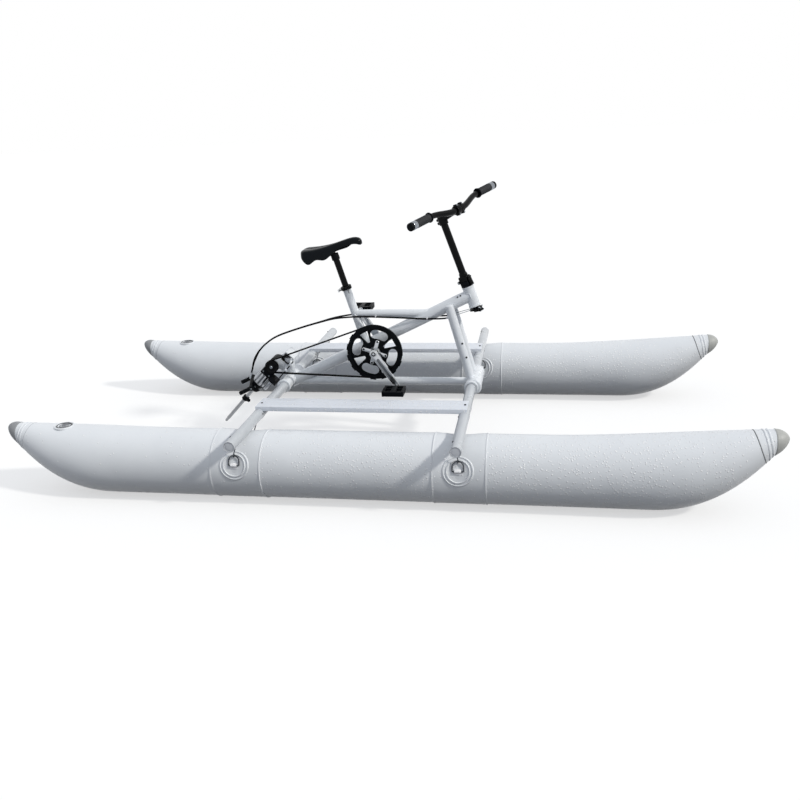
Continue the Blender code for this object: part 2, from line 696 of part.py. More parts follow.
def make_frame():
    radius = MAIN_TUBE_DIAMETER / 2
    main_foot = main_tube_at(CROSS_TUBE_X["rear"])
    head_top = HEAD_BOTTOM + HEAD_AXIS * HEAD_TUBE_LENGTH
    head_cut = rod("head cut", HEAD_BOTTOM, head_top, HEAD_TUBE_DIAMETER / 2 + GAP)
    main_cut = rod("main cut", main_foot, MAIN_TOP, radius + GAP)
    shell_half = LEFT * BB_SHELL_LENGTH / 2
    shell_ends = (CRANK_AXIS - shell_half, CRANK_AXIS + shell_half)
    shell_cut = rod("shell cut", *shell_ends, BB_SHELL_DIAMETER / 2 + GAP)
    front_cut = sleeve_cutter("front")
    lug_cut = front_lug(GAP)
    rear_cut = sleeve_cutter("rear")
    pipe("head_tube", HEAD_BOTTOM, head_top, HEAD_TUBE_DIAMETER / 2, HEAD_TUBE_BORE / 2, WHITE_PAINT)
    main = frame_tube("main_tube", main_foot, MAIN_TOP, MAIN_TUBE_DIAMETER)
    cut(main, head_cut, shell_cut, rear_cut)
    pipe("bb_shell", *shell_ends, BB_SHELL_DIAMETER / 2, BB_BORE_RADIUS, WHITE_PAINT)
    seat = pipe(
        "seat_tube", SEAT_FOOT, SEAT_TUBE_TOP,
        SEAT_TUBE_DIAMETER / 2, (SEAT_POST_RADIUS + RUN) / FLAT, WHITE_PAINT,
    )
    slot_size = (0.0025, SEAT_TUBE_DIAMETER, 0.056)
    slot_centre = SEAT_TUBE_TOP - LEFT * SEAT_TUBE_DIAMETER / 2
    slot = box("seat slot", slot_size, along(slot_centre, SEAT_AXIS, SEAT_AXIS.cross(LEFT)))
    cut(seat, main_cut, slot)
    seat_cut = rod("seat cut", SEAT_FOOT, SEAT_TUBE_TOP, SEAT_TUBE_DIAMETER / 2 + GAP)
    seat_x = SEAT_FOOT.x - (TOP_TUBE_Z - SEAT_FOOT.z) * SEAT_AXIS.z**-1 * sin(SEAT_TILT)
    top = frame_tube("top_tube", (seat_x, 0, TOP_TUBE_Z), main_tube_at_height(TOP_TUBE_Z), TOP_TUBE_DIAMETER)
    cut(top, seat_cut, main_cut)
    drop = Vector((0, 0, -CENTRE_TUBE_DROP))
    centre_start = SLEEVE_CENTRES["rear"] + drop + Vector((CENTRE_TUBE_START, 0, 0))
    centre = frame_tube("centre_tube", centre_start, SLEEVE_CENTRES["front"] + drop, CENTRE_TUBE_DIAMETER)
    cut(centre, front_cut, lug_cut, main_cut)
    for side, sign in SIDE_SIGN.items():
        foot = SLEEVE_CENTRES["front"] + LEFT * sign * UPRIGHT_Y
        head = Vector((UPRIGHT_TOP[0], sign * UPRIGHT_Y, UPRIGHT_TOP[1]))
        upright = frame_tube(f"front_upright_{side}", foot, head, UPRIGHT_DIAMETER)
        cut(upright, front_cut, lug_cut)


# Crankset, pedals and belt


def crank_point(angle, reach, y):
    return CRANK_AXIS + Vector((cos(angle) * reach, y, sin(angle) * reach))


def across_boat(origin):
    """Matrix whose local X and Y are the world's X and Z, so its Z points to the rider's right."""
    turn = Matrix(((1, 0, 0), (0, 0, -1), (0, 1, 0))).to_4x4()
    return Matrix.Translation(origin) @ turn


def crank_outline(angle):
    """A tapered arm with round ends, drawn from the crank axis towards angle."""
    lean = asin((CRANK_ROOT_RADIUS - CRANK_TIP_RADIUS) / CRANK_LENGTH)
    root = arc((0, 0), CRANK_ROOT_RADIUS, pi / 2 - lean, 3 * pi / 2 + lean, 10)
    tip = arc((CRANK_LENGTH, 0), CRANK_TIP_RADIUS, -pi / 2 + lean, pi / 2 - lean, 8)
    return [(x * cos(angle) - y * sin(angle), x * sin(angle) + y * cos(angle)) for x, y in root + tip]


def make_crank(side):
    sign = SIDE_SIGN[side]
    angle = CRANK_ANGLE if side == "right" else CRANK_ANGLE + pi
    middle = sign * (CRANK_INNER_Y + CRANK_THICKNESS / 2)
    arm_place = across_boat(CRANK_AXIS + LEFT * middle)
    arm = plate(f"crank_{side}", [crank_outline(angle)], CRANK_THICKNESS, SILVER, arm_place)
    inside_arm = CRANK_INNER_Y * 1.05
    pin_start = crank_point(angle, CRANK_LENGTH, sign * inside_arm)
    pin_end = crank_point(angle, CRANK_LENGTH, sign * (PEDAL_Y + PEDAL_SIZE[1] / 2 - PEDAL_RIM))
    join(arm, rod(f"pedal pin {side}", pin_start, pin_end, PEDAL_PIN_RADIUS, sides=12))
    spindle_radius = BB_BORE_RADIUS * FLAT - RUN
    shell_end = BB_SHELL_LENGTH / 2 + 2 * RUN
    boss_end = CRANK_AXIS + LEFT * sign * inside_arm
    join(arm, rod(f"boss {side}", CRANK_AXIS + LEFT * sign * shell_end, boss_end, CRANK_ROOT_RADIUS))
    if side == "left":
        join(arm, rod("spindle", CRANK_AXIS - LEFT * CRANK_INNER_Y, boss_end, spindle_radius))
        return
    spider_y = BELT_Y - PULLEY_WEB / 2 - GAP - SPIDER_THICKNESS / 2
    for i in range(SPIDER_ARMS):
        turn = CRANK_ANGLE + SPIDER_TURN + i * 2 * pi / SPIDER_ARMS
        half = SPIDER_ARM_WIDTH / 2
        tip = arc((SPIDER_REACH - half, 0), half, -pi / 2, pi / 2, 6)
        outline = [(0, -half), *tip, (0, half)]
        outline = [(x * cos(turn) - y * sin(turn), x * sin(turn) + y * cos(turn)) for x, y in outline]
        place = across_boat(CRANK_AXIS + LEFT * spider_y)
        join(arm, plate(f"spider arm {i}", [outline], SPIDER_THICKNESS, None, place))
    socket_end = CRANK_AXIS - LEFT * (CRANK_INNER_Y + GAP)
    cut(arm, rod("spindle socket", CRANK_AXIS, socket_end, spindle_radius + GAP))


def kidney(turn, half_span):
    """A curved slot in the pulley's web, centred on the direction turn."""
    middle = (WINDOW_INNER + WINDOW_OUTER) / 2
    half = (WINDOW_OUTER - WINDOW_INNER) / 2
    start, end = turn - half_span, turn + half_span
    outer = arc((0, 0), WINDOW_OUTER, start, end, 4)
    first = arc((middle * cos(end), middle * sin(end)), half, end, end + pi, 5)
    inner = arc((0, 0), WINDOW_INNER, end, start, 4)
    last = arc((middle * cos(start), middle * sin(start)), half, start + pi, start + 2 * pi, 5)
    return outer + first[1:-1] + inner + last[1:-1]


def trapezoid(turn):
    """A straight-sided window between two kidneys, wider towards the rim."""
    (inner, narrow), (outer, wide) = TRAPEZOID_ENDS
    corners = ((inner, narrow), (outer, wide), (outer, -wide), (inner, -narrow))
    return [(r * cos(turn) - w * sin(turn), r * sin(turn) + w * cos(turn)) for r, w in corners]


def make_crank_pulley():
    half, web = PULLEY_WIDTH / 2, PULLEY_WEB / 2
    groove = BELT_WIDTH / 2 + GAP
    profile = [
        (PULLEY_RADIUS, half), (PULLEY_RADIUS, groove), (PULLEY_SEAT, groove), (PULLEY_SEAT, -groove),
        (PULLEY_RADIUS, -groove), (PULLEY_RADIUS, -half), (PULLEY_RIM_INNER, -half), (PULLEY_RIM_INNER, -web),
        (PULLEY_BORE, -web), (PULLEY_BORE, web), (PULLEY_RIM_INNER, web), (PULLEY_RIM_INNER, half),
    ]
    place = across_boat(CRANK_AXIS + LEFT * BELT_Y)
    pulley = turned("crank_pulley", profile, BLACK_PLASTIC, place, closed=True, sides=PULLEY_SIDES)
    depth = 4 * PULLEY_WEB
    for i in range(SPIDER_ARMS):
        turn = CRANK_ANGLE + SPIDER_TURN + i * 2 * pi / SPIDER_ARMS
        window = plate(f"kidney {i}", [kidney(turn, WINDOW_HALF_SPAN)], depth, None, place)
        gap = plate(f"trapezoid {i}", [trapezoid(turn + pi / SPIDER_ARMS)], depth, None, place)
        cut(pulley, window, gap)


def make_pedal(side):
    sign = SIDE_SIGN[side]
    angle = CRANK_ANGLE if side == "right" else CRANK_ANGLE + pi
    centre = crank_point(angle, CRANK_LENGTH, sign * PEDAL_Y)
    pedal = box(f"pedal_{side}", PEDAL_SIZE, Matrix.Translation(centre), BLACK_PLASTIC, bevel=0.003)
    window = (PEDAL_WINDOW_WIDTH, PEDAL_SIZE[1] - 2 * PEDAL_RIM, 2 * PEDAL_SIZE[2])
    for place in (-1, 1):
        middle = Matrix.Translation(centre + Vector((PEDAL_WINDOW_X * place, 0, 0)))
        cut(pedal, box(f"pedal window {side} {place}", window, middle))
    start = centre - LEFT * sign * PEDAL_SIZE[1]
    end = crank_point(angle, CRANK_LENGTH, sign * (PEDAL_Y + PEDAL_SIZE[1] / 2 - PEDAL_RIM + GAP))
    cut(pedal, rod(f"pedal bore {side}", start, end, (PEDAL_PIN_RADIUS + RUN) / FLAT))


def belt_loop(lift):
    """Outline of the belt round both pulleys, at a height above their seats."""
    gap = Vector((HUB.x - CRANK_AXIS.x, HUB.z - CRANK_AXIS.z))
    big, small = PULLEY_SEAT + lift, SMALL_PULLEY_SEAT + lift
    heading = atan2(gap.y, gap.x)
    spread = acos((big - small) / gap.length)
    round_big = arc((0, 0), big, heading + spread, heading + 2 * pi - spread, 36)
    round_small = arc((gap.x, gap.y), small, heading - spread, heading + spread, 12)
    return round_big + round_small


def make_belt():
    inner = belt_loop(GAP)
    outer = belt_loop(GAP + BELT_THICKNESS)
    plate("drive_belt", [outer, inner], BELT_WIDTH, BLACK_RUBBER, across_boat(CRANK_AXIS + LEFT * BELT_Y))


# Drive leg


def leg_place(along_leg, y=0.0, across=0.0):
    """Matrix with Z down the leg and X to the rider's left."""
    return along(on_leg(along_leg, across, y), LEG_AXIS, LEFT)


def leg_plane(y):
    """Matrix with local X down the leg and local Y across it."""
    turn = Matrix((LEG_AXIS, LEG_ACROSS, LEG_AXIS.cross(LEG_ACROSS))).transposed()
    return Matrix.Translation(HUB + LEFT * y) @ turn.to_4x4()


def make_bracket():
    """Cheeks for the leg's trunnions, on a short square tube that a neck joins to the rear sleeve."""
    along_leg, across = BRACKET_TUBE_CENTRE
    size = (2 * (CHEEK_INNER_Y + CHEEK_THICKNESS), BRACKET_TUBE_SIZE[1], BRACKET_TUBE_SIZE[0])
    bracket = box("drive_bracket", size, leg_place(along_leg, 0, across), WHITE_PAINT)
    half_u, half_w = BRACKET_TUBE_SIZE[0] / 2, BRACKET_TUBE_SIZE[1] / 2
    boss = arc((0, 0), CHEEK_BOSS_RADIUS, -pi / 2, pi / 2, 8)
    outline = [*boss, (along_leg + half_u, across + half_w), (along_leg, across - half_w), (-0.006, -0.062)]
    for sign in (-1, 1):
        cheek_y = sign * (CHEEK_INNER_Y + CHEEK_THICKNESS / 2)
        join(bracket, plate(f"cheek {sign}", [outline], CHEEK_THICKNESS, None, leg_plane(cheek_y)))
    neck_top = on_leg(along_leg, across).z
    neck_x = CROSS_TUBE_X["rear"]
    neck_middle = Matrix.Translation((neck_x, 0, (neck_top + CROSS_TUBE_Z) / 2))
    join(bracket, box("neck", (*NECK_SIZE, neck_top - CROSS_TUBE_Z), neck_middle))
    for i, share in enumerate(STOP_LUGS):
        place = STOP_LOW.lerp(STOP_HIGH, share)
        root = place + LEG_ACROSS * STOP_LUG_RISE
        root.y = -CHEEK_INNER_Y - CHEEK_THICKNESS / 2
        tip = place - LEFT * 2 * STOP_ROD_RADIUS
        join(bracket, rod(f"stop lug {i}", root, tip, STOP_LUG_RADIUS, sides=12))
    hole = (2 * size[0], size[1] - 2 * BRACKET_TUBE_WALL, size[2] - 2 * BRACKET_TUBE_WALL)
    cut(bracket, box("tube hole", hole, leg_place(along_leg, 0, across)))
    past_end = STOP_HIGH + (STOP_HIGH - STOP_LOW) * 0.1
    cut(bracket, rod("stop bore", STOP_LOW, past_end, STOP_ROD_RADIUS + GAP, sides=12))
    reach = LEFT * 0.06
    cut(bracket, rod("trunnion bore", HUB - reach, HUB + reach, (TRUNNION_RADIUS + RUN) / FLAT))
    foot = main_tube_at(CROSS_TUBE_X["rear"])
    main_clear = rod("main tube clearance", foot, MAIN_TOP, MAIN_TUBE_DIAMETER / 2 + GAP)
    cut(bracket, main_clear, sleeve_cutter("rear"))
    rod("leg_stop_rod", STOP_LOW, STOP_HIGH, STOP_ROD_RADIUS, BLACK_METAL, sides=12)


def make_gearbox():
    half = GEARBOX_HALF_WIDTH
    top = arc((half - GEARBOX_ABOVE_HUB, 0), half, pi / 2, 3 * pi / 2, 12)
    outline = [*top, (GEARBOX_BELOW_HUB, -half), (GEARBOX_BELOW_HUB, half)]
    gearbox = plate("gearbox", [outline], 2 * GEARBOX_HALF_DEPTH, BLACK_METAL, leg_plane(0))
    outer = CHEEK_INNER_Y + CHEEK_THICKNESS
    join(gearbox, rod("trunnions", HUB - LEFT * outer, HUB + LEFT * outer, TRUNNION_RADIUS))
    start = STOP_ALONG + STOP_ROD_RADIUS + GAP
    middle_y = sum(CATCH_Y) / 2
    size = (CATCH_Y[1] - CATCH_Y[0], CATCH_ACROSS[1] - CATCH_ACROSS[0], CATCH_LENGTH)
    place = leg_place(start + CATCH_LENGTH / 2, middle_y, sum(CATCH_ACROSS) / 2)
    root_size = (size[0], -GEARBOX_HALF_WIDTH * 0.8 - CATCH_ACROSS[0], GEARBOX_BELOW_HUB - start)
    root_place = leg_place(start + root_size[2] / 2, middle_y, CATCH_ACROSS[0] + root_size[1] / 2)
    join(gearbox, box("catch", size, place), box("catch root", root_size, root_place))
    tab_y = (STOP_ROD_Y - 0.006, CATCH_Y[1])
    tab_across = (STOP_ACROSS - 0.007, CATCH_ACROSS[1])
    tab_size = (tab_y[1] - tab_y[0], tab_across[1] - tab_across[0], CATCH_TAB)
    tab_place = leg_place(start + CATCH_TAB / 2, sum(tab_y) / 2, sum(tab_across) / 2)
    join(gearbox, box("catch tab", tab_size, tab_place))
    cut(gearbox, rod("stub bore", HUB - LEFT * 0.09, HUB - LEFT * 0.018, (STUB_RADIUS + RUN) / FLAT))


def make_small_pulley():
    half = SMALL_PULLEY_WIDTH / 2
    groove = BELT_WIDTH / 2 + GAP
    inner_end = -BELT_Y - 0.020
    hub_end = -BELT_Y - CHEEK_INNER_Y - CHEEK_THICKNESS - 0.001
    profile = [
        (0, half), (SMALL_PULLEY_RADIUS, half), (SMALL_PULLEY_RADIUS, groove), (SMALL_PULLEY_SEAT, groove),
        (SMALL_PULLEY_SEAT, -groove), (SMALL_PULLEY_RADIUS, -groove), (SMALL_PULLEY_RADIUS, -half),
        (SMALL_HUB_RADIUS, -half), (SMALL_HUB_RADIUS, -hub_end), (STUB_RADIUS, -hub_end),
        (STUB_RADIUS, -inner_end), (0, -inner_end),
    ]
    turned("drive_pulley", profile, BLACK_METAL, across_boat(HUB + LEFT * BELT_Y))


def make_leg():
    start = GEARBOX_BELOW_HUB + GAP
    bore = (SHAFT_RADIUS + RUN) / FLAT
    radius = LEG_HOUSING_RADIUS
    cup = SHAFT_START - start - 0.002
    profile = [(0, cup), (bore, cup), (bore, LEG_HOUSING_LENGTH), (radius, LEG_HOUSING_LENGTH)]
    pitch = LEG_HOUSING_LENGTH / (LEG_RIBS + 1)
    for i in range(LEG_RIBS, 0, -1):
        for shift, depth in ((0.0022, 0), (0.0014, 0.0015), (-0.0014, 0.0015), (-0.0022, 0)):
            profile.append((radius - depth, pitch * i + shift))
    profile += [(radius, 0), (0, 0)]
    turned("leg_housing", profile, SILVER, leg_place(start))
    head_start = start + LEG_HOUSING_LENGTH + GAP
    head_profile = [
        (SWIVEL_RADIUS * 0.8, SWIVEL_LENGTH), (SWIVEL_RADIUS, SWIVEL_LENGTH * 0.8),
        (SWIVEL_RADIUS, 0), (bore, 0), (bore, SWIVEL_LENGTH),
    ]
    head = turned("swivel_head", head_profile, BLACK_METAL, leg_place(head_start), closed=True)
    arm_side = LEFT * cos(SWIVEL_TURN) + LEG_ACROSS * sin(SWIVEL_TURN)
    arm_across = LEG_ACROSS * cos(SWIVEL_TURN) - LEFT * sin(SWIVEL_TURN)
    middle = on_leg(head_start + SWIVEL_ARM_AT) + arm_across * SWIVEL_ARM_ACROSS
    reach = arm_side * (SWIVEL_ARM_SPAN / 2 + PRONG_RADIUS)
    join(head, rod("cross arm", middle - reach, middle + reach, PRONG_RADIUS * 1.2, sides=12))
    prong = LEG_AXIS * cos(PRONG_LEAN) + arm_across * sin(PRONG_LEAN)
    for sign in (-1, 1):
        root = middle + arm_side * sign * SWIVEL_ARM_SPAN / 2
        join(head, rod(f"prong {sign}", root, root + prong * PRONG_LENGTH, PRONG_RADIUS, sides=12))
    shaft_length = SHAFT_END - SHAFT_START
    collar = COLLAR_AT - SHAFT_START
    turns = (0, pi / 6, pi / 3, pi / 2)
    nose = [(SHAFT_RADIUS * sin(t), shaft_length - SHAFT_RADIUS * (1 - cos(t))) for t in turns]
    shaft_profile = [
        *nose, (SHAFT_RADIUS, collar + COLLAR_LENGTH), (COLLAR_RADIUS, collar + COLLAR_LENGTH),
        (COLLAR_RADIUS, collar), (SHAFT_RADIUS, collar), (SHAFT_RADIUS, 0), (0, 0),
    ]
    shaft = turned("drive_shaft", shaft_profile, STEEL, leg_place(SHAFT_START))
    claw_start = on_leg(COLLAR_AT + COLLAR_LENGTH / 2, -COLLAR_RADIUS * 0.7)
    join(shaft, rod("claw", claw_start, claw_start - LEG_ACROSS * 0.016, 0.004, sides=12))


# Steering, handlepost and bar


def bar_place(up, direction=None, forward=0.0, left=0.0):
    return along(on_bar(forward, left, up), direction if direction is not None else HEAD_AXIS, BAR_FORWARD)


def block(name, low, high):
    """One half of the fold block, between two heights on the steering axis."""
    return box(name, (*BLOCK_SIZE, high - low), bar_place((low + high) / 2), bevel=BLOCK_BEVEL)


def make_steering():
    stub_end = DISC_TOP + GAP
    journal = JOURNAL_RADIUS
    flange_bottom = HEAD_TUBE_LENGTH + 2 * GAP
    flange_top = BLOCK_FOOT + 0.002
    upper_journal, lower_journal = JOURNAL_SPANS
    profile = [
        (0, flange_top), (STEERER_FLANGE_RADIUS - 0.001, flange_top), (STEERER_FLANGE_RADIUS, flange_bottom),
        (journal, flange_bottom), (journal, upper_journal), (STEERER_WAIST, upper_journal - 0.002),
        (STEERER_WAIST, lower_journal + 0.002), (journal, lower_journal), (journal, -0.003),
        (STEERER_STUB_RADIUS, -0.003), (STEERER_STUB_RADIUS, stub_end), (0, stub_end),
    ]
    steerer = turned("steerer", profile, BLACK_METAL, bar_place(0))
    knuckle_at = -BLOCK_SIZE[0] / 2 - KNUCKLE_RADIUS * 0.4
    axis_up = BLOCK_SPLIT + GAP / 2
    half = BLOCK_SIZE[1] / 2
    ear = half * 0.4

    def across_fold(name, start, end, radius):
        """A rod on the fold's axis, between two distances from the middle."""
        return rod(name, on_bar(knuckle_at, start, axis_up), on_bar(knuckle_at, end, axis_up), radius)

    knuckle = across_fold("knuckle", -ear, ear, KNUCKLE_RADIUS)
    bore = across_fold("fold bore", -half, half, (FOLD_PIN_RADIUS + RUN) / FLAT)
    room = KNUCKLE_RADIUS + GAP * 2
    join(steerer, block("lower block", BLOCK_FOOT, BLOCK_SPLIT), knuckle)
    cut(steerer, bore)
    for sign in (-1, 1):
        cut(steerer, across_fold(f"ear room {sign}", sign * (ear + GAP), sign * (half + 0.002), room))
    disc_foot = DISC_TOP - DISC_THICKNESS
    disc_profile = [(0, DISC_TOP), (DISC_RADIUS, DISC_TOP), (DISC_RADIUS, disc_foot), (0, disc_foot)]
    turned("steering_disc", disc_profile, BLACK_METAL, bar_place(0))
    post_foot = on_bar(0, 0, BLOCK_TOP - 0.004)
    post = rod("handlepost", post_foot, on_bar(0, 0, POST_TOP), POST_RADIUS, BLACK_METAL)
    join(post, block("upper block", BLOCK_SPLIT + GAP, BLOCK_TOP))
    for sign in (-1, 1):
        join(post, across_fold(f"ear {sign}", sign * (ear + 2 * GAP), sign * half, KNUCKLE_RADIUS))
    cut(post, across_fold("knuckle room", -ear - GAP, ear + GAP, room))
    join(post, across_fold("fold pin", -half, half, FOLD_PIN_RADIUS))


def make_latch():
    """Lever down the front of the fold block, hung on a pin near its top."""
    front = BLOCK_SIZE[0] / 2
    arm_centre = on_bar(front + 0.006, 0, LATCH_AT - LATCH_LENGTH / 2 + LATCH_TAIL)
    lean = (-HEAD_AXIS + BAR_FORWARD * 0.12).normalized()
    size = (*LATCH_SECTION, LATCH_LENGTH)
    lever = box("latch_lever", size, along(arm_centre, lean, BAR_FORWARD), BLACK_METAL, bevel=0.0015)
    pivot = on_bar(front + 0.0048, 0, LATCH_AT)
    join(lever, rod("latch barrel", pivot - BAR_LEFT * 0.010, pivot + BAR_LEFT * 0.010, 0.0042, sides=12))


def bar_centre():
    return on_bar(STEM_REACH, 0, POST_TOP + 0.013)


def make_stem():
    low = POST_TOP - STEM_COLLAR_HEIGHT + 0.008
    high = POST_TOP + 0.010
    radius = STEM_COLLAR_RADIUS
    bore = (POST_RADIUS + GAP) / FLAT
    lid = POST_TOP + GAP
    profile = [(0, high), (radius * 0.85, high), (radius, high - 0.004), (radius, low), (0, low)]
    stem = turned("stem", profile, BLACK_METAL, bar_place(0))
    start = on_bar(0.001, 0, POST_TOP - 0.005)
    join(stem, rod("stem arm", start, bar_centre(), STEM_ARM_RADIUS, sides=18))
    half = BAR_LEFT * CLAMP_WIDTH / 2
    join(stem, rod("bar clamp", bar_centre() - half, bar_centre() + half, BAR_RADIUS + CLAMP_WALL))
    pinch = on_bar(-radius, 0, low + 0.010)
    join(stem, rod("pinch boss", pinch - BAR_LEFT * 0.011, pinch + BAR_LEFT * 0.011, 0.0065, sides=10))
    bar_hole = (BAR_RADIUS + GAP) / FLAT
    cut(stem, rod("post hole", on_bar(0, 0, low - 0.001), on_bar(0, 0, lid), bore))
    cut(stem, rod("bar hole", bar_centre() - half * 1.2, bar_centre() + half * 1.2, bar_hole))


def bar_points():
    """Centre line of the bar from the rider's right end to the left: level ends, an upward sweep between."""
    half = BAR_WIDTH / 2
    flat, lifted = CLAMP_WIDTH / 2 + 0.004, half - GRIP_LENGTH - 0.008
    points = []
    for i in range(7):
        share = i / 6
        ease = share * share * (3 - 2 * share)
        points.append((flat + (lifted - flat) * share, ease))
    points.append((half - 0.004, 1.0))
    mirrored = [(-left, ease) for left, ease in reversed(points)]
    centre = bar_centre()
    return [
        centre + BAR_LEFT * left + HEAD_AXIS * BAR_RISE * ease - BAR_FORWARD * BAR_SWEEP * ease
        for left, ease in mirrored + points
    ]


def make_bar():
    wire("handlebar", bar_points(), BAR_RADIUS, BLACK_METAL, resolution=3)
    for side, sign in SIDE_SIGN.items():
        outer = bar_points()[-1 if sign > 0 else 0]
        direction = BAR_LEFT * sign
        start = outer + direction * 0.004 - direction * GRIP_LENGTH
        bore = (BAR_RADIUS + GAP) / FLAT
        end = GRIP_LENGTH + 0.004
        bar_end = GRIP_LENGTH - 0.003
        profile = [
            (0, end), (GRIP_RADIUS * 0.8, end), (GRIP_RADIUS, end - 0.004), (GRIP_RADIUS, 0.008),
            (GRIP_FLANGE_RADIUS, 0.006), (GRIP_FLANGE_RADIUS, 0), (bore, 0), (bore, bar_end), (0, bar_end),
        ]
        turned(f"grip_{side}", profile, GRIP_RUBBER, along(start, direction, UP))


CABLE_ROUTE = [  # x, distance from the middle plane, height above the cross tubes' axis
    (0.3400, 0.0160, 0.3115), (0.300, 0.0200, 0.2990), (0.252, 0.0225, 0.2835), (0.190, 0.0275, 0.2810),
    (0.130, 0.0300, 0.2830), (0.040, 0.0300, 0.2875), (-0.060, 0.0290, 0.2910), (-0.120, 0.0270, 0.2920),
    (-0.172, 0.0240, 0.2900), (-0.249, 0.0120, 0.2800), (-0.319, 0.0045, 0.2620), (-0.414, 0.0032, 0.2350),
    (-0.510, 0.0032, 0.2030), (-0.563, 0.0032, 0.1750), (-0.610, 0.0040, 0.1350), (-0.640, 0.0100, 0.0910),
]
CABLE_END = {
    "right": [(-0.648, -0.028, 0.0510), (-0.655, -0.044, 0.0170)],
    "left": [(-0.662, 0.024, 0.0510), (-0.678, 0.044, 0.0170)],
}


def make_cable(side):
    """Control cable from the steering disc to the swivel head's arm, clipped along the frame."""
    sign = SIDE_SIGN[side]
    points = [Vector((x, sign * y, CROSS_TUBE_Z + z)) for x, y, z in CABLE_ROUTE]
    points += [Vector((x, y, CROSS_TUBE_Z + z)) for x, y, z in CABLE_END[side]]
    wire(f"steering_cable_{side}", smooth_route(points, 2), CABLE_RADIUS, BLACK_RUBBER, resolution=1)


# Seat clamp, seat post and saddle


def seat_place(up, forward=0.0, left=0.0, direction=None):
    """Matrix on the seat tube's axis, measured up from its foot."""
    ahead = LEFT.cross(SEAT_AXIS)
    origin = SEAT_FOOT + SEAT_AXIS * up + ahead * forward + LEFT * left
    return along(origin, direction if direction is not None else SEAT_AXIS, ahead)


def make_seat_clamp():
    top = SEAT_TUBE_LENGTH + 0.003
    bottom = top - SEAT_CLAMP_HEIGHT
    outer = SEAT_TUBE_DIAMETER / 2 + SEAT_CLAMP_WALL
    bore = (SEAT_TUBE_DIAMETER / 2 + GAP) / FLAT
    profile = [(0, top), (outer, top), (outer, bottom), (0, bottom)]
    clamp = turned("seat_clamp", profile, BLACK_METAL, seat_place(0))
    middle = (top + bottom) / 2
    ear_y = -outer - 0.004
    ears = box("clamp ears", (0.022, 0.016, SEAT_CLAMP_HEIGHT - 0.003), seat_place(middle, 0, ear_y))
    skewer_start, nut_start, skewer_end = (
        seat_place(middle, forward, ear_y).translation for forward in (-0.024, 0.020, 0.030)
    )
    room_ends = [seat_place(up).translation for up in (bottom - 0.01, top + 0.01)]
    slit = box("clamp slit", (0.002, 0.030, 2 * SEAT_CLAMP_HEIGHT), seat_place(middle, 0, ear_y - 0.0015))
    join(clamp, ears)
    cut(clamp, slit)
    cut(clamp, rod("seat tube clear", *room_ends, bore))
    join(clamp, rod("skewer", skewer_start, skewer_end, 0.003, sides=12))
    join(clamp, rod("skewer nut", nut_start, skewer_end, 0.006, sides=12))
    lever_root = seat_place(middle, -0.0285, ear_y).translation
    lever_matrix = along(lever_root + LEFT * 0.019, LEFT, LEFT.cross(SEAT_AXIS))
    lever = box("seat_clamp_lever", (0.005, 0.012, 0.044), lever_matrix, SILVER, bevel=0.0015)
    cam_start = lever_root - SEAT_AXIS * 0.006
    join(lever, rod("lever cam", cam_start, cam_start + SEAT_AXIS * 0.012, 0.0042, sides=12))


def make_seat_post():
    bottom = SEAT_TUBE_LENGTH - SEAT_POST_INSERTED
    bore = SEAT_POST_RADIUS - 0.0022
    profile = [
        (0, SEAT_POST_TOP), (SEAT_POST_RADIUS, SEAT_POST_TOP), (SEAT_POST_RADIUS, bottom), (bore, bottom),
        (bore, SEAT_POST_TOP - 0.02), (0, SEAT_POST_TOP - 0.02),
    ]
    turned("seat_post", profile, BLACK_METAL, seat_place(0))


def saddle_top(share):
    """Height of the saddle's crown along its length, from the tail (0) to the nose (1)."""
    return SADDLE_TAIL_Z + SADDLE_RISE * share**2 - SADDLE_NOSE_DROP * share**10


def saddle_half_width(share):
    """Half width of the saddle in plan: broad wings behind and a narrow nose."""
    wings = 0.071 * max(0.0, 1 - (share / 0.62) ** 2) ** 0.8
    nose = 0.019 + 0.010 * (1 - share)
    return max(wings, nose)


def make_saddle():
    stations = (0.0, 0.08, 0.22, 0.38, 0.52, 0.68, 0.86, 1.0)
    rings = []
    for share in stations:
        x = SADDLE_TAIL_X + SADDLE_LENGTH * share
        close = 0.62 if share in (0.0, 1.0) else 1.0
        top = saddle_top(share) - (0.010 if share in (0.0, 1.0) else 0.0)
        wide = saddle_half_width(share) * close
        skirt = (0.032 + SADDLE_WING_DROP * exp(-(((share - 0.2) / 0.16) ** 2))) * close
        half = [
            (0.0, top), (wide * 0.55, top - 0.002), (wide * 0.92, top - 0.012), (wide, top - skirt),
            (wide * 0.86, top - skirt), (wide * 0.70, top - 0.026 * close), (0.0, top - 0.024 * close),
        ]
        mirrored = [(-y, z) for y, z in reversed(half[1:-1])]
        rings.append([(x, y, z) for y, z in half + mirrored])
    saddle = loft("saddle", rings, BLACK_PLASTIC, loop=False)
    smoothing = saddle.modifiers.new("smoothing", "SUBSURF")
    smoothing.levels = 1
    smoothing.render_levels = 1
    for side in (-1, 1):
        cut(saddle, wire(f"rail socket {side}", rail_points(side, GAP), RAIL_RADIUS + RUN, None))


def rail_points(side, deeper=0.0):
    """Centre line of a saddle rail: it closes in towards the nose, and both its ends rise into the saddle."""
    points = []
    for share, rise in ((0.10, 0.012), (0.16, 0), (0.34, 0), (0.5, 0), (0.66, 0), (0.76, 0), (0.84, 0.010)):
        x = SADDLE_TAIL_X + SADDLE_LENGTH * share
        y = RAIL_Y - max(0.0, share - 0.3) * RAIL_TAPER
        lift = rise + deeper if rise else 0.0
        points.append(Vector((x, side * y, saddle_top(share) - RAIL_DROP + lift)))
    return points


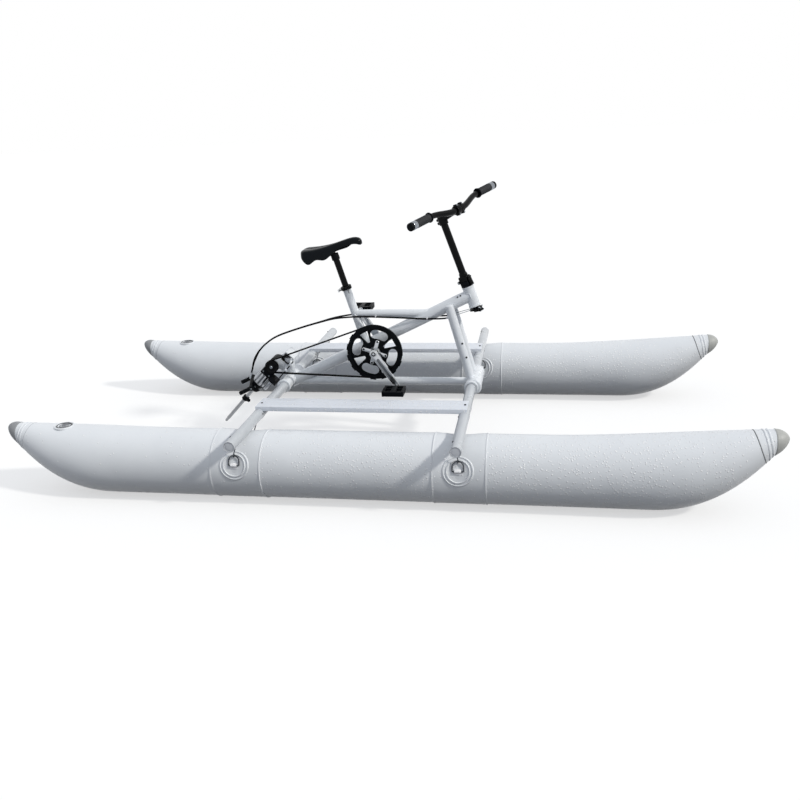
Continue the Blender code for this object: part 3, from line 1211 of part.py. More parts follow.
def make_saddle_clamp():
    """Head of the seat post, with the two saddle rails that it grips."""
    head_low = SEAT_POST_TOP - 0.016
    bore = (SEAT_POST_RADIUS + GAP) / FLAT
    lid = SEAT_POST_TOP + GAP
    profile = [(0, lid + 0.012), (0.017, lid + 0.012), (0.0175, head_low), (0, head_low)]
    head = turned("saddle_clamp", profile, BLACK_METAL, seat_place(0))
    rail_middle = rail_points(1)[3]
    jaw = Vector((rail_middle.x, 0, rail_middle.z - JAW_DROP))
    half = LEFT * rail_middle.y
    join(head, rod("jaw", jaw - half, jaw + half, JAW_RADIUS))
    for side in (-1, 1):
        join(head, wire(f"rail {side}", rail_points(side), RAIL_RADIUS, None))
    room_ends = [seat_place(up).translation for up in (head_low - 0.01, lid)]
    cut(head, rod("seat post room", *room_ends, bore))


for side_name in SIDE_SIGN:
    make_pontoon(side_name)
    make_valve(side_name)
    for end_name in ("bow", "stern"):
        make_tip(end_name, side_name)
    for end_name in CROSS_TUBE_X:
        make_cross_tube(end_name, side_name)
        for face_name in ("outer", "inner"):
            make_lashing_ring(end_name, side_name, face_name)
    make_plank(side_name)
    make_crank(side_name)
    make_pedal(side_name)
    make_cable(side_name)
for end_name in CROSS_TUBE_X:
    make_sleeve(end_name)
make_frame()
make_crank_pulley()
make_belt()
make_bracket()
make_gearbox()
make_small_pulley()
make_leg()
make_steering()
make_latch()
make_stem()
make_bar()
make_seat_clamp()
make_seat_post()
make_saddle()
make_saddle_clamp()
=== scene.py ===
# %% [markdown]
# # Water bike
# A bicycle frame stands on two white inflated pontoons. Pedals turn a belt, the belt turns a shaft at the
# stern, and the handlebar steers it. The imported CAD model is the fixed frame; every piece below is drawn
# over it with finer shapes and its own finish.

# %% Load the frame
from math import acos, atan2, cos, pi, radians, sin

import bpy
import numpy as np
from mathutils import Matrix, Vector


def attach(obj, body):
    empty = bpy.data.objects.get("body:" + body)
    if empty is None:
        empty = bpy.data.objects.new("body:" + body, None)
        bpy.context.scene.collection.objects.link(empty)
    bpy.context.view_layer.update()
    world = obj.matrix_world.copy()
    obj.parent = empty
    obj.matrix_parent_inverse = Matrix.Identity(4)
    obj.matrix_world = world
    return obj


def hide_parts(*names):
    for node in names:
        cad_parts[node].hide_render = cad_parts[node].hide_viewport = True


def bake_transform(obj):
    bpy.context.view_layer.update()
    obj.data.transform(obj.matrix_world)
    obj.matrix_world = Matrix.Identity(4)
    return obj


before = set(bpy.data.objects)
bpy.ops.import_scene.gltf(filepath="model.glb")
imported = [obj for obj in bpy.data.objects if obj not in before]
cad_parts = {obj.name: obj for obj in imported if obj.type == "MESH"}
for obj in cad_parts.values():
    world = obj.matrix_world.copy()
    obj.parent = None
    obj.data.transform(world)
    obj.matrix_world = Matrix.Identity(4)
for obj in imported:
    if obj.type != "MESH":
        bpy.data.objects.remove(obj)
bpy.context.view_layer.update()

# %% [markdown]
# ## Directions and sizes
# All sizes are the object's own, in metres. +X is the bow, +Y the rider's left, +Z up. The steering head,
# the turned handlebar, the seat tube and the tilted drive leg each have their own axes.

# %% Sizes
FORE = np.array([1.0, 0.0, 0.0])
LEFT = np.array([0.0, 1.0, 0.0])
UP = np.array([0.0, 0.0, 1.0])
SIDES = {"right": -1, "left": 1}

HULL_HALF = 1.5
HULL_Y = 0.608
HULL_DIAMETER = 0.264
TIP_LENGTH = 0.052
CROSS_X = {"front": 0.356, "rear": -0.476}
CROSS_Z = 0.279
CROSS_RADIUS = 0.021
HEAD_FOOT = np.array([0.369, 0.0, 0.608])
HEAD_TILT = radians(19.4)
STEER = radians(32)
MAIN_ANGLE = radians(25.5)
SEAT_TILT = radians(16.07)
CRANK_AXIS = np.array([-0.064, 0.0, 0.424])
CRANK_ANGLE = radians(-56.5)
CRANK_LENGTH = 0.172
HUB = np.array([-0.539, 0.0, 0.3545])
LEG_ANGLE = radians(46.2)
SWIVEL_TURN = radians(18)
BELT_Y = -0.07
SPIDER_ANGLE = CRANK_ANGLE + radians(39)
PLANK_Y = 0.41
UPRIGHT_Y = 0.0455
LUG_RADIUS = 0.034
FOLD_X, FOLD_UP = -0.0246, 0.116
SEAT_CLAMP_UP = 0.27

HEAD_AXIS = np.array([-sin(HEAD_TILT), 0.0, cos(HEAD_TILT)])
HEAD_FORWARD = np.array([cos(HEAD_TILT), 0.0, sin(HEAD_TILT)])
BAR_FORWARD = cos(STEER) * HEAD_FORWARD - sin(STEER) * LEFT
BAR_LEFT = cos(STEER) * LEFT + sin(STEER) * HEAD_FORWARD
MAIN_AXIS = np.array([cos(MAIN_ANGLE), 0.0, sin(MAIN_ANGLE)])
MAIN_TOP = HEAD_FOOT + HEAD_AXIS * 0.052
SEAT_AXIS = np.array([-sin(SEAT_TILT), 0.0, cos(SEAT_TILT)])
SEAT_AHEAD = np.cross(LEFT, SEAT_AXIS)
LEG_AXIS = np.array([-cos(LEG_ANGLE), 0.0, -sin(LEG_ANGLE)])
LEG_ACROSS = np.array([-sin(LEG_ANGLE), 0.0, cos(LEG_ANGLE)])
ROW_AXES = np.array([FORE, LEFT, UP])
JOINT_CENTRE = {end: np.array([x, 0.0, CROSS_Z]) for end, x in CROSS_X.items()}


def main_at(x):
    """Point of the main tube's axis at x."""
    return MAIN_TOP + MAIN_AXIS * ((x - MAIN_TOP[0]) / MAIN_AXIS[0])


def main_at_height(z):
    """Point of the main tube's axis at height z."""
    return MAIN_TOP + MAIN_AXIS * ((z - MAIN_TOP[2]) / MAIN_AXIS[2])


SEAT_FOOT = main_at(-0.1138)


def on_leg(along, across=0.0, y=0.0):
    """Point in the tilted leg's own axes, from the pulley's centre."""
    return HUB + LEG_AXIS * along + LEG_ACROSS * across + LEFT * y


def on_bar(forward, left, up):
    """Point in the turned handlebar's own axes, from the bottom of the head tube."""
    return HEAD_FOOT + BAR_FORWARD * forward + BAR_LEFT * left + HEAD_AXIS * up


def on_seat(up, forward=0.0, left=0.0):
    """Point in the seat tube's own axes, from its foot on the main tube."""
    return SEAT_FOOT + SEAT_AXIS * up + SEAT_AHEAD * forward + LEFT * left


# %% [markdown]
# ## Surface builders
# Every surface is a function of two parameters on a grid: one parameter runs round a ring, the other from
# ring to ring. The builders return points and faces; a piece joins several closed skins in one object.

# %% Builders
def unit(vector):
    """A vector, or each row of several, brought to length 1."""
    vector = np.asarray(vector, float)
    return vector / np.linalg.norm(vector, axis=-1, keepdims=True)


def axes(direction):
    """Three rows: X leaning to the left, or up when direction itself runs across the boat, Y, and Z along
    direction."""
    z = unit(direction)
    lean = UP if abs(LEFT @ z) > 0.99 else LEFT
    x = unit(lean - z * (lean @ z))
    return np.array([x, np.cross(z, x), z])


def weld(points, faces):
    """Merges points that fall together, drops faces that vanish, and turns the skin outwards.

    The signed volume is a sixth of the sum of a . (b x c) over the triangles; a negative one means that
    the faces look inwards.
    """
    places, index = np.unique(np.round(points, 6), axis=0, return_inverse=True)
    index = index.ravel()
    faces = [list(dict.fromkeys(index[face].tolist())) for face in faces]
    faces = [face for face in faces if len(face) > 2]
    fans = np.array([(f[0], f[i], f[i + 1]) for f in faces for i in range(1, len(f) - 1)])
    a, b, c = (places[fans[:, i]] for i in range(3))
    if np.einsum("ij,ij->i", a, np.cross(b, c)).sum() < 0:
        faces = [face[::-1] for face in faces]
    return places, faces


def skin(grid, loop=False):
    """Skin over a grid of rings: each ring is joined to the next. A loop closes on its first ring;
    otherwise the first and last ring are capped."""
    rows, columns = grid.shape[:2]
    index = np.arange(rows * columns).reshape(rows, columns)
    here = index if loop else index[:-1]
    there = np.roll(index, -1, 0) if loop else index[1:]
    quads = np.stack([here, np.roll(here, -1, 1), np.roll(there, -1, 1), there], -1)
    faces = list(quads.reshape(-1, 4))
    if not loop:
        faces += [index[0][::-1], index[-1]]
    return weld(grid.reshape(-1, 3), faces)


def soften(points, radius, steps=3, closed=False):
    """Rounds a polyline's corners: each becomes the parabola (1-t)^2 a + 2t(1-t) corner + t^2 b, where
    a and b lie radius before and after the corner, or at most 0.45 of the shorter neighbouring side."""
    p = np.asarray(points, float)
    back, ahead = np.roll(p, 1, 0) - p, np.roll(p, -1, 0) - p
    back_length = np.linalg.norm(back, axis=1, keepdims=True)
    ahead_length = np.linalg.norm(ahead, axis=1, keepdims=True)
    reach = np.minimum(radius, 0.45 * np.minimum(back_length, ahead_length))
    t = np.linspace(0, 1, steps + 1)[None, :, None]
    a, b = p + back / back_length * reach, p + ahead / ahead_length * reach
    bent = (1 - t) ** 2 * a[:, None] + 2 * t * (1 - t) * p[:, None] + t * t * b[:, None]
    if closed:
        return bent.reshape(-1, p.shape[1])
    return np.concatenate([p[:1], bent[1:-1].reshape(-1, p.shape[1]), p[-1:]])


def curve_through(points, steps=8, closed=False):
    """Catmull-Rom curve through points, with the given steps between each two."""
    p = np.asarray(points, float)
    if closed:
        line = np.concatenate([p[-1:], p, p[:2]])
    else:
        line = np.concatenate([2 * p[:1] - p[1:2], p, 2 * p[-1:] - p[-2:-1]])
    a, b, c, d = (line[i : len(line) - 3 + i][:, None] for i in range(4))
    t = (np.arange(steps) / steps)[None, :, None]
    bent = b + t / 2 * (c - a) + t**2 / 2 * (2 * a - 5 * b + 4 * c - d) + t**3 / 2 * (3 * b - a - 3 * c + d)
    bent = bent.reshape(-1, p.shape[1])
    return bent if closed else np.concatenate([bent, p[-1:]])


def circle(radius=1.0, sides=16):
    """Points round a circle."""
    turn = np.linspace(0, 2 * pi, sides, endpoint=False)
    return radius * np.stack([np.cos(turn), np.sin(turn)], 1)


def arc(radius, start, end, steps, centre=(0.0, 0.0)):
    """Points along an arc from one angle to another, in radians."""
    turn = np.linspace(start, end, steps + 1)
    return np.asarray(centre) + radius * np.stack([np.cos(turn), np.sin(turn)], 1)


def sweep(path, section, reference=LEFT, grow=1.0, loop=False):
    """A flat section carried along a path: its first coordinate lies across the path, square to the
    reference direction, and its second across both. grow scales it at each point of the path."""
    path = np.asarray(path, float)
    step = np.roll(path, -1, 0) - np.roll(path, 1, 0) if loop else np.gradient(path, axis=0)
    tangent = unit(step)
    across = unit(np.cross(reference, tangent))
    upright = np.cross(tangent, across)
    grow = np.broadcast_to(grow, len(path))[:, None, None]
    u, v = (np.asarray(section, float)[None, :, i, None] for i in range(2))
    return skin(path[:, None] + grow * (u * across[:, None] + v * upright[:, None]), loop)


def wire(path, radius, sides=12, reference=LEFT, loop=False):
    """A round bar along a path; the radius may change along it."""
    return sweep(path, circle(1.0, sides), reference, radius, loop)


def lathe(profile, origin, direction, sides=48, loop=False):
    """A profile of (radius, height) turned about direction: point = origin + r (cos t X + sin t Y) + h Z."""
    x, y, z = axes(direction)
    radius, height = np.asarray(profile, float).T[:, :, None, None]
    turn = np.linspace(0, 2 * pi, sides, endpoint=False)[:, None]
    ring = np.cos(turn) * x + np.sin(turn) * y
    return skin(np.asarray(origin, float) + radius * ring[None] + height * z, loop)


def turned(profile, edge, origin, direction, sides=48, steps=3):
    """A solid: a profile from the axis out and back to it, with rounded corners, turned about the axis."""
    return lathe(soften(profile, edge, steps), origin, direction, sides)


def turned_ring(profile, edge, origin, direction, sides=48, steps=3):
    """An open ring: a closed profile that stays clear of the axis, with rounded corners."""
    return lathe(soften(profile, edge, steps, closed=True), origin, direction, sides, loop=True)


def bar(start, end, radius, edge=0.0008, sides=40):
    """Solid round bar with its end edges rounded."""
    start, end = np.asarray(start, float), np.asarray(end, float)
    length = np.linalg.norm(end - start)
    profile = soften([(0, 0), (radius, 0), (radius, length), (0, length)], edge)
    return lathe(profile, start, end - start, sides)


def pipe(start, end, radius, bore, edge=0.0006, sides=40):
    """Round tube, open right through, with all four edges rounded."""
    start, end = np.asarray(start, float), np.asarray(end, float)
    length = np.linalg.norm(end - start)
    outline = [(radius, 0), (radius, length), (bore, length), (bore, 0)]
    return turned_ring(outline, edge, start, end - start, sides)


def plate(outline, thickness, origin, frame_axes, edge=0.0008):
    """A closed outline made thick along the third axis, half each way, with rounded edges.

    The rings shrink by edge (1 - sin a) as they rise by edge (1 - cos a), for a from 0 to 90 degrees.
    """
    p = np.asarray(outline, float)
    along = unit(np.roll(p, -1, 0) - np.roll(p, 1, 0))
    outwards = np.stack([along[:, 1], -along[:, 0]], 1)
    area = (p[:, 0] * np.roll(p[:, 1], -1) - np.roll(p[:, 0], -1) * p[:, 1]).sum()
    outwards *= np.sign(area)
    a = np.radians([0, 30, 60, 90])[:, None]
    inset, rise = edge * (1 - np.sin(a)), -thickness / 2 + edge * (1 - np.cos(a))
    inset = np.concatenate([inset, inset[::-1]])
    rise = np.concatenate([rise, -rise[::-1]])
    flat = p[None] - inset[:, :, None] * outwards[None]
    local = np.concatenate([flat, np.broadcast_to(rise[:, :, None], flat.shape[:2] + (1,))], 2)
    return skin(np.asarray(origin, float) + local @ np.asarray(frame_axes, float))


def block(size, origin, frame_axes, edge=0.0015, corner=0.0):
    """A box with rounded edges; corner rounds its four upright corners more."""
    x, y, z = (side / 2 for side in size)
    outline = soften([(-x, -y), (x, -y), (x, y), (-x, y)], max(corner, edge), closed=True)
    return plate(outline, 2 * z, origin, frame_axes, edge)


def pierced(outlines, thickness, origin, frame_axes, edge=0.0006):
    """A flat plate with windows: the first outline is its rim, the others are holes through it."""
    curve = bpy.data.curves.new("pierced plate", "CURVE")
    curve.dimensions = "2D"
    curve.fill_mode = "BOTH"
    curve.extrude = thickness / 2 - edge
    curve.bevel_depth = edge
    curve.bevel_resolution = 1
    curve.offset = -edge
    for outline in outlines:
        spline = curve.splines.new("POLY")
        spline.points.add(len(outline) - 1)
        flat = np.zeros((len(outline), 4))
        flat[:, :2] = outline
        spline.points.foreach_set("co", flat.ravel())
        spline.use_cyclic_u = True
    guide = bpy.data.objects.new("pierced plate", curve)
    mesh = guide.to_mesh()
    points = np.empty(len(mesh.vertices) * 3)
    mesh.vertices.foreach_get("co", points)
    faces = [np.array(polygon.vertices) for polygon in mesh.polygons]
    local = points.reshape(-1, 3)
    guide.to_mesh_clear()
    bpy.data.objects.remove(guide)
    return weld(np.asarray(origin, float) + local @ np.asarray(frame_axes, float), faces)


def piece(name, skins, finish, body, replaces=(), sharp=38):
    """One object from several closed skins, in the row frame, riding on a body of the CAD model."""
    starts = np.cumsum([0] + [len(points) for points, _ in skins])
    points = np.concatenate([points for points, _ in skins])
    faces = [
        [int(i) + int(start) for i in face]
        for start, (_, group) in zip(starts, skins) for face in group
    ]
    mesh = bpy.data.meshes.new(name)
    mesh.from_pydata(points.tolist(), [], faces)
    mesh.shade_smooth()
    mesh.set_sharp_from_angle(angle=radians(sharp))
    mesh.materials.append(finish)
    made = bpy.data.objects.new(name, mesh)
    bpy.context.scene.collection.objects.link(made)
    if body:
        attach(made, body)
    if replaces:
        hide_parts(*replaces)
    print(name, len(points), "points")
    return made


def bolt_head(place, direction, radius=0.0042, height=0.0035):
    """Socket-head screw: a domed head with a round-bottomed socket."""
    profile = [
        (0, height * 0.35), (radius * 0.5, height * 0.35), (radius * 0.55, height), (radius * 0.85, height),
        (radius, height * 0.7), (radius, -0.001), (0, -0.001),
    ]
    return turned(profile, 0.0003, place, direction, 20)


def joined_path(start, direction, radius, other, other_direction, other_radius, turns=64, near=True):
    """Closed curve where a round tube's skin meets another's.

    A point start + r (cos t X + sin t Y) + s Z lies at other_radius from the other axis; that is a
    quadratic in s, and the smaller or larger root is taken.
    """
    x, y, z = axes(direction)
    turn = np.linspace(0, 2 * pi, turns, endpoint=False)[:, None]
    ring = np.asarray(start, float) + radius * (np.cos(turn) * x + np.sin(turn) * y)
    w = unit(other_direction)
    gap = ring - np.asarray(other, float)
    gap = gap - (gap @ w)[:, None] * w
    run = z - (z @ w) * w
    a, b, c = run @ run, gap @ run, (gap * gap).sum(1) - other_radius**2
    root = np.sqrt(np.maximum(b * b - a * c, 0.0))
    s = (-b - root if near else -b + root) / a
    return ring + s[:, None] * z


def weld_bead(path, radius=0.0026):
    """Bead of a TIG weld: a wire round the seam whose radius ripples with each dip of the rod."""
    ripple = 1 + 0.14 * np.cos(np.arange(len(path)) * 2 * pi / 4)
    return sweep(path, circle(1.0, 8), unit(path - path.mean(0)), radius * ripple, loop=True)


print("builders ready")

# %% [markdown]
# ## Camera, floor and light
# The camera stands off the rider's right, a little behind the middle and above the pontoons, tipped down
# about 20 degrees. The boat lies on a plain white floor under a bright, even sky that is a little stronger
# overhead. One hazy sun stands off the bow, so the faces towards the stern are shaded.

# %% Camera and stage
CAMERA_PLACE = (0.6345, -3.3436, 1.415)
CAMERA_YAW, CAMERA_PITCH, CAMERA_ROLL = radians(10.351), radians(20.017), radians(-2.853)


def camera_turn(yaw, pitch, roll):
    """Columns: picture right, picture up, and backwards, turned by roll about the line of sight."""
    ahead = Vector((-sin(yaw) * cos(pitch), cos(yaw) * cos(pitch), -sin(pitch)))
    right = Vector((cos(yaw), sin(yaw), 0))
    above = right.cross(ahead)
    turned_right = right * cos(roll) + above * sin(roll)
    turned_above = above * cos(roll) - right * sin(roll)
    return Matrix((turned_right, turned_above, -ahead)).transposed().to_4x4()


camera_data = bpy.data.cameras.new("photograph's view")
camera_data.lens = 36
camera_data.sensor_width = 36
camera_data.clip_end = 120
camera = bpy.data.objects.new("photograph's view", camera_data)
camera.matrix_world = Matrix.Translation(CAMERA_PLACE) @ camera_turn(CAMERA_YAW, CAMERA_PITCH, CAMERA_ROLL)
bpy.context.scene.collection.objects.link(camera)
bpy.context.scene.camera = camera
bpy.context.scene.view_settings.view_transform = "Standard"


def linear(code):
    """Linear colour of an sRGB hex code."""
    coded = np.array([int(code[i : i + 2], 16) for i in (1, 3, 5)]) / 255
    plain = np.where(coded <= 0.04045, coded / 12.92, ((coded + 0.055) / 1.055) ** 2.4)
    return (*plain.tolist(), 1.0)


def add(tree, kind, inputs=None, **settings):
    """Adds a shader node; each input, by name or number, is linked to a socket or set to a value."""
    node = tree.nodes.new("ShaderNode" + kind)
    for key, value in settings.items():
        setattr(node, key, value)
    for key, value in (inputs or {}).items():
        if isinstance(value, bpy.types.NodeSocket):
            tree.links.new(value, node.inputs[key])
        else:
            node.inputs[key].default_value = value
    return node


def maths(tree, operation, first, second):
    """One Math node's result."""
    return add(tree, "Math", {0: first, 1: second}, operation=operation).outputs[0]


def seen_directly(tree):
    """1 for rays from the camera, off shiny metal or through water; 0 for rays that light the boat."""
    rays = add(tree, "LightPath").outputs
    shiny = maths(tree, "MAXIMUM", rays["Is Camera Ray"], rays["Is Glossy Ray"])
    return maths(tree, "MAXIMUM", shiny, rays["Is Transmission Ray"])


FLOOR_HALF, FLOOR_Z, FLOOR_GLOW = 40.0, -0.001, 0.55
SKY_LOW, SKY_HIGH = 0.57, 0.74
SUN_WAY = (-1.25, 0.32, -1.0)


def floor_finish():
    """White studio floor that keeps the boat's shadow, softened by the share FLOOR_GLOW of plain white. It
    lights the boat as a mid grey."""
    made = bpy.data.materials.new("white studio floor")
    made.use_nodes = True
    tree = made.node_tree
    tree.nodes.clear()
    shaded = add(tree, "BsdfDiffuse", {"Color": linear("#ffffff")})
    plain = add(tree, "Emission", {"Color": linear("#ffffff"), "Strength": 1.04})
    seen = add(tree, "MixShader", {0: FLOOR_GLOW, 1: shaded.outputs[0], 2: plain.outputs[0]})
    lit = add(tree, "BsdfDiffuse", {"Color": linear("#525254")})
    mix = add(tree, "MixShader", {0: seen_directly(tree), 1: lit.outputs[0], 2: seen.outputs[0]})
    add(tree, "OutputMaterial", {"Surface": mix.outputs[0]})
    return made


floor_mesh = bpy.data.meshes.new("studio floor")
corners = [(x * FLOOR_HALF, y * FLOOR_HALF, FLOOR_Z) for x, y in ((-1, -1), (1, -1), (1, 1), (-1, 1))]
floor_mesh.from_pydata(corners, [], [(0, 1, 2, 3)])
floor = bpy.data.objects.new("studio floor", floor_mesh)
floor_mesh.materials.append(floor_finish())
bpy.context.scene.collection.objects.link(floor)

sky = bpy.data.worlds.new("bright sky")
bpy.context.scene.world = sky
sky.use_nodes = True
sky_tree = sky.node_tree
sky_tree.nodes.clear()
sky_seen = add(sky_tree, "Background", {"Color": linear("#ffffff"), "Strength": 1.0})
sky_way = add(sky_tree, "SeparateXYZ", {0: add(sky_tree, "TexCoord").outputs["Generated"]})
sky_rise = add(sky_tree, "MapRange", {
    "Value": sky_way.outputs["Z"], "From Min": 0.0, "From Max": 1.0, "To Min": SKY_LOW, "To Max": SKY_HIGH,
})
sky_lit = add(sky_tree, "Background", {"Color": linear("#eef3fb"), "Strength": sky_rise.outputs[0]})
sky_parts = {0: seen_directly(sky_tree), 1: sky_lit.outputs[0], 2: sky_seen.outputs[0]}
sky_mix = add(sky_tree, "MixShader", sky_parts)
add(sky_tree, "OutputWorld", {"Surface": sky_mix.outputs[0]})


def sun_lamp(name, direction, spread, strength, colour):
    """A sun that shines along a direction; spread is the angle across it."""
    data = bpy.data.lights.new(name, "SUN")
    data.angle = spread
    data.energy = strength
    data.color = linear(colour)[:3]
    lamp = bpy.data.objects.new(name, data)
    lamp.rotation_euler = Vector(direction).to_track_quat("-Z", "Y").to_euler()
    bpy.context.scene.collection.objects.link(lamp)
    return lamp


sun_lamp("hazy sun off the bow", SUN_WAY, radians(5), 1.98, "#fffcf5")
print("camera, floor and light ready")

# %% [markdown]
# ## Finishes
# Each finish is a real coating or material, with its pattern at its real size. Coordinates are the piece's
# own Object coordinates, in metres, so a scale of 1 / 0.004 repeats about every 4 mm.

# %% Finishes
def surface(
    name, colour, roughness, metallic=0.0, second=None, blotch=0.08, rough_swing=0.06, grain=None, **sockets
):
    """One Principled finish: two near colours mixed by a soft blotch, roughness that swings with it, and a
    list of (size in metres, depth in metres, kind) for its bumps. Other sockets go by their own names."""
    made = bpy.data.materials.new(name)
    made.use_nodes = True
    tree = made.node_tree
    shader = tree.nodes["Principled BSDF"]
    place = add(tree, "TexCoord").outputs["Object"]
    clouds = add(tree, "TexNoise", {"Vector": place, "Scale": 1 / blotch, "Detail": 4.0, "Roughness": 0.6})
    mix = add(tree, "Mix", {
        "Factor": clouds.outputs[0], 6: linear(colour), 7: linear(second or colour),
    }, data_type="RGBA")
    tree.links.new(mix.outputs[2], shader.inputs["Base Color"])
    swing = add(tree, "MapRange", {
        "Value": clouds.outputs[0], "From Min": 0.3, "From Max": 0.7,
        "To Min": roughness - rough_swing, "To Max": roughness + rough_swing,
    })
    tree.links.new(swing.outputs[0], shader.inputs["Roughness"])
    shader.inputs["Metallic"].default_value = metallic
    normal = None
    for size, depth, kind in grain or []:
        if kind == "cells":
            pattern = add(tree, "TexVoronoi", {"Vector": place, "Scale": 1 / size}).outputs["Distance"]
        else:
            detail = 1.0 if kind == "soft" else 3.0
            pattern = add(tree, "TexNoise", {"Vector": place, "Scale": 1 / size, "Detail": detail}).outputs[0]
        inputs = {"Height": pattern, "Strength": 1.0, "Distance": depth}
        if normal is not None:
            inputs["Normal"] = normal
        normal = add(tree, "Bump", inputs).outputs[0]
    if normal is not None:
        tree.links.new(normal, shader.inputs["Normal"])
    by_name = {socket.name.lower().replace(" ", "_"): socket for socket in shader.inputs}
    for key, value in sockets.items():
        by_name[key].default_value = value
    return made


DROP_FLAT, DROP_RADIUS = 0.12, 0.34
# Painted light on the drops: a share of painted highlight whitens each crown, and a share of painted shade
# greys each slope.
DROP_HIGHLIGHT, DROP_RIM_SHADE, DROP_ROUGHNESS = 0.9, 0.5, 0.14
STRAY_DROPS, DRY_END = 0.06, 0.08


def wet(made, size, height, share, patch, fore=None):
    """Adds standing drops of water to a finish: round domes, one in each cell of the size given (metres).

    Only the share of the cells with the highest random value has a drop, and only inside soft patches.
    With fore = (from, to), in metres along the boat, the drops thin out from the second place to the
    first. A drop's colour paints light on it: a painted highlight whitens its crown, and painted shade
    greys its slope by the rim share x d (1 - d), for a dome height d from 0 to 1. It is as smooth as water.
    """
    tree = made.node_tree
    shader = tree.nodes["Principled BSDF"]
    place = add(tree, "TexCoord").outputs["Object"]
    cells = add(tree, "TexVoronoi", {"Vector": place, "Scale": 1 / size, "Randomness": 1.0})
    dome = add(tree, "MapRange", {
        "Value": cells.outputs["Distance"], "From Min": DROP_FLAT, "From Max": DROP_RADIUS,
        "To Min": 1.0, "To Max": 0.0,
    }, interpolation_type="SMOOTHSTEP")
    chance = add(tree, "SeparateXYZ", {0: cells.outputs["Color"]}).outputs["X"]
    clouds = add(tree, "TexNoise", {"Vector": place, "Scale": 1 / patch, "Detail": 1.0}).outputs[0]
    near = add(tree, "MapRange", {
        "Value": clouds, "From Min": 0.3, "From Max": 0.5, "To Min": STRAY_DROPS, "To Max": share,
    }).outputs[0]
    if fore is not None:
        along = add(tree, "SeparateXYZ", {0: place}).outputs["X"]
        thin = add(tree, "MapRange", {
            "Value": along, "From Min": fore[0], "From Max": fore[1],
            "To Min": DRY_END, "To Max": 1.0,
        }).outputs[0]
        near = maths(tree, "MULTIPLY", near, thin)
    bare = maths(tree, "SUBTRACT", 1.0, near)
    picked = maths(tree, "GREATER_THAN", chance, bare)
    drops = maths(tree, "MULTIPLY", dome.outputs[0], picked)
    inputs = {"Height": drops, "Strength": 1.0, "Distance": height}
    if shader.inputs["Normal"].links:
        inputs["Normal"] = shader.inputs["Normal"].links[0].from_socket
    tree.links.new(add(tree, "Bump", inputs).outputs[0], shader.inputs["Normal"])
    dry = shader.inputs["Base Color"].links[0].from_socket
    # Painted highlight: each drop's crown is whitened. Painted shade: its slope is greyed towards #aeb2b8.
    bright = maths(tree, "MULTIPLY", drops, DROP_HIGHLIGHT)
    highlighted = add(tree, "Mix", {"Factor": bright, 6: dry, 7: linear("#ffffff")}, data_type="RGBA")
    slope = maths(tree, "SUBTRACT", 1.0, drops)
    rim_shade_share = maths(tree, "MULTIPLY", maths(tree, "MULTIPLY", drops, slope), DROP_RIM_SHADE)
    rim_shaded = add(tree, "Mix", {
        "Factor": rim_shade_share, 6: highlighted.outputs[2], 7: linear("#aeb2b8"),
    }, data_type="RGBA")
    tree.links.new(rim_shaded.outputs[2], shader.inputs["Base Color"])
    old = shader.inputs["Roughness"].links[0].from_socket
    gloss = add(tree, "Mix", {"Factor": drops, 2: old, 3: DROP_ROUGHNESS})
    tree.links.new(gloss.outputs[0], shader.inputs["Roughness"])


# %% [markdown]
# ### Coated fabric, rubber and paint
# The pontoons are white PVC-coated polyester, calendered and welded by hot air: a faint weave shows through
# the coat, and the skin has soft dents between its welded bands. Water stands on them in round drops, which
# thin out towards the stern, and on the foot planks. The nose caps are moulded grey PVC rubber. The frame is
# welded aluminium under white polyester powder coat, with its fine orange peel; the cross tubes are coated
# a pale grey.

# %% Light finishes
pvc_fabric = surface(
    "white PVC coated fabric", "#e6e9ec", 0.34, second="#dfe2e6", blotch=0.16,
    grain=[(0.13, 0.003, "soft"), (0.0016, 0.00006, "fine")], specular_ior_level=0.3,
)
welded_band = surface(
    "welded PVC reinforcement", "#e3e6e9", 0.38, second="#dbdee2", blotch=0.1,
    grain=[(0.09, 0.0022, "soft"), (0.0016, 0.00008, "fine")], specular_ior_level=0.3,
)
grey_rubber = surface(
    "grey moulded PVC rubber", "#95979a", 0.55, second="#828487", blotch=0.03,
    grain=[(0.0012, 0.00012, "fine")],
)
bow_rubber = surface(
    "pale grey moulded PVC rubber", "#b8b9b5", 0.5, second="#a4a5a2", blotch=0.03,
    grain=[(0.0012, 0.00012, "fine")],
)
valve_rubber = surface(
    "grey valve plastic", "#8d9094", 0.38, second="#787b80", blotch=0.012, grain=[(0.0009, 0.00008, "fine")],
)
powder_coat = surface(
    "white powder coat", "#e4e8ec", 0.28, second="#dce0e5", blotch=0.07,
    grain=[(0.0022, 0.00002, "soft")], coat_weight=0.15, coat_roughness=0.12,
)
tube_coat = surface(
    "pale grey powder coat", "#c3c7cb", 0.3, second="#b7bbc0", blotch=0.09,
    grain=[(0.0022, 0.00002, "soft")], coat_weight=0.15, coat_roughness=0.12,
)
plank_coat = surface(
    "white coated extruded plank", "#dfe3ea", 0.4, second="#d4d9e1", blotch=0.018,
    grain=[(0.0035, 0.00022, "fine")],
)
webbing = surface(
    "white polyester webbing", "#fafafb", 0.8, second="#f0f0f3", blotch=0.004,
    grain=[(0.0014, 0.00035, "cells")], sheen_weight=0.3,
)
wet(pvc_fabric, 0.0105, 0.0011, 1.0, 0.22, fore=(-0.7, -0.2))
wet(welded_band, 0.011, 0.001, 0.4, 0.2, fore=(-0.75, -0.1))
wet(plank_coat, 0.011, 0.0016, 1.2, 0.09)
tube_plug = surface("grey moulded tube plug", "#dcdfe4", 0.5, second="#ced1d7", blotch=0.01,
                    grain=[(0.001, 0.00008, "fine")])
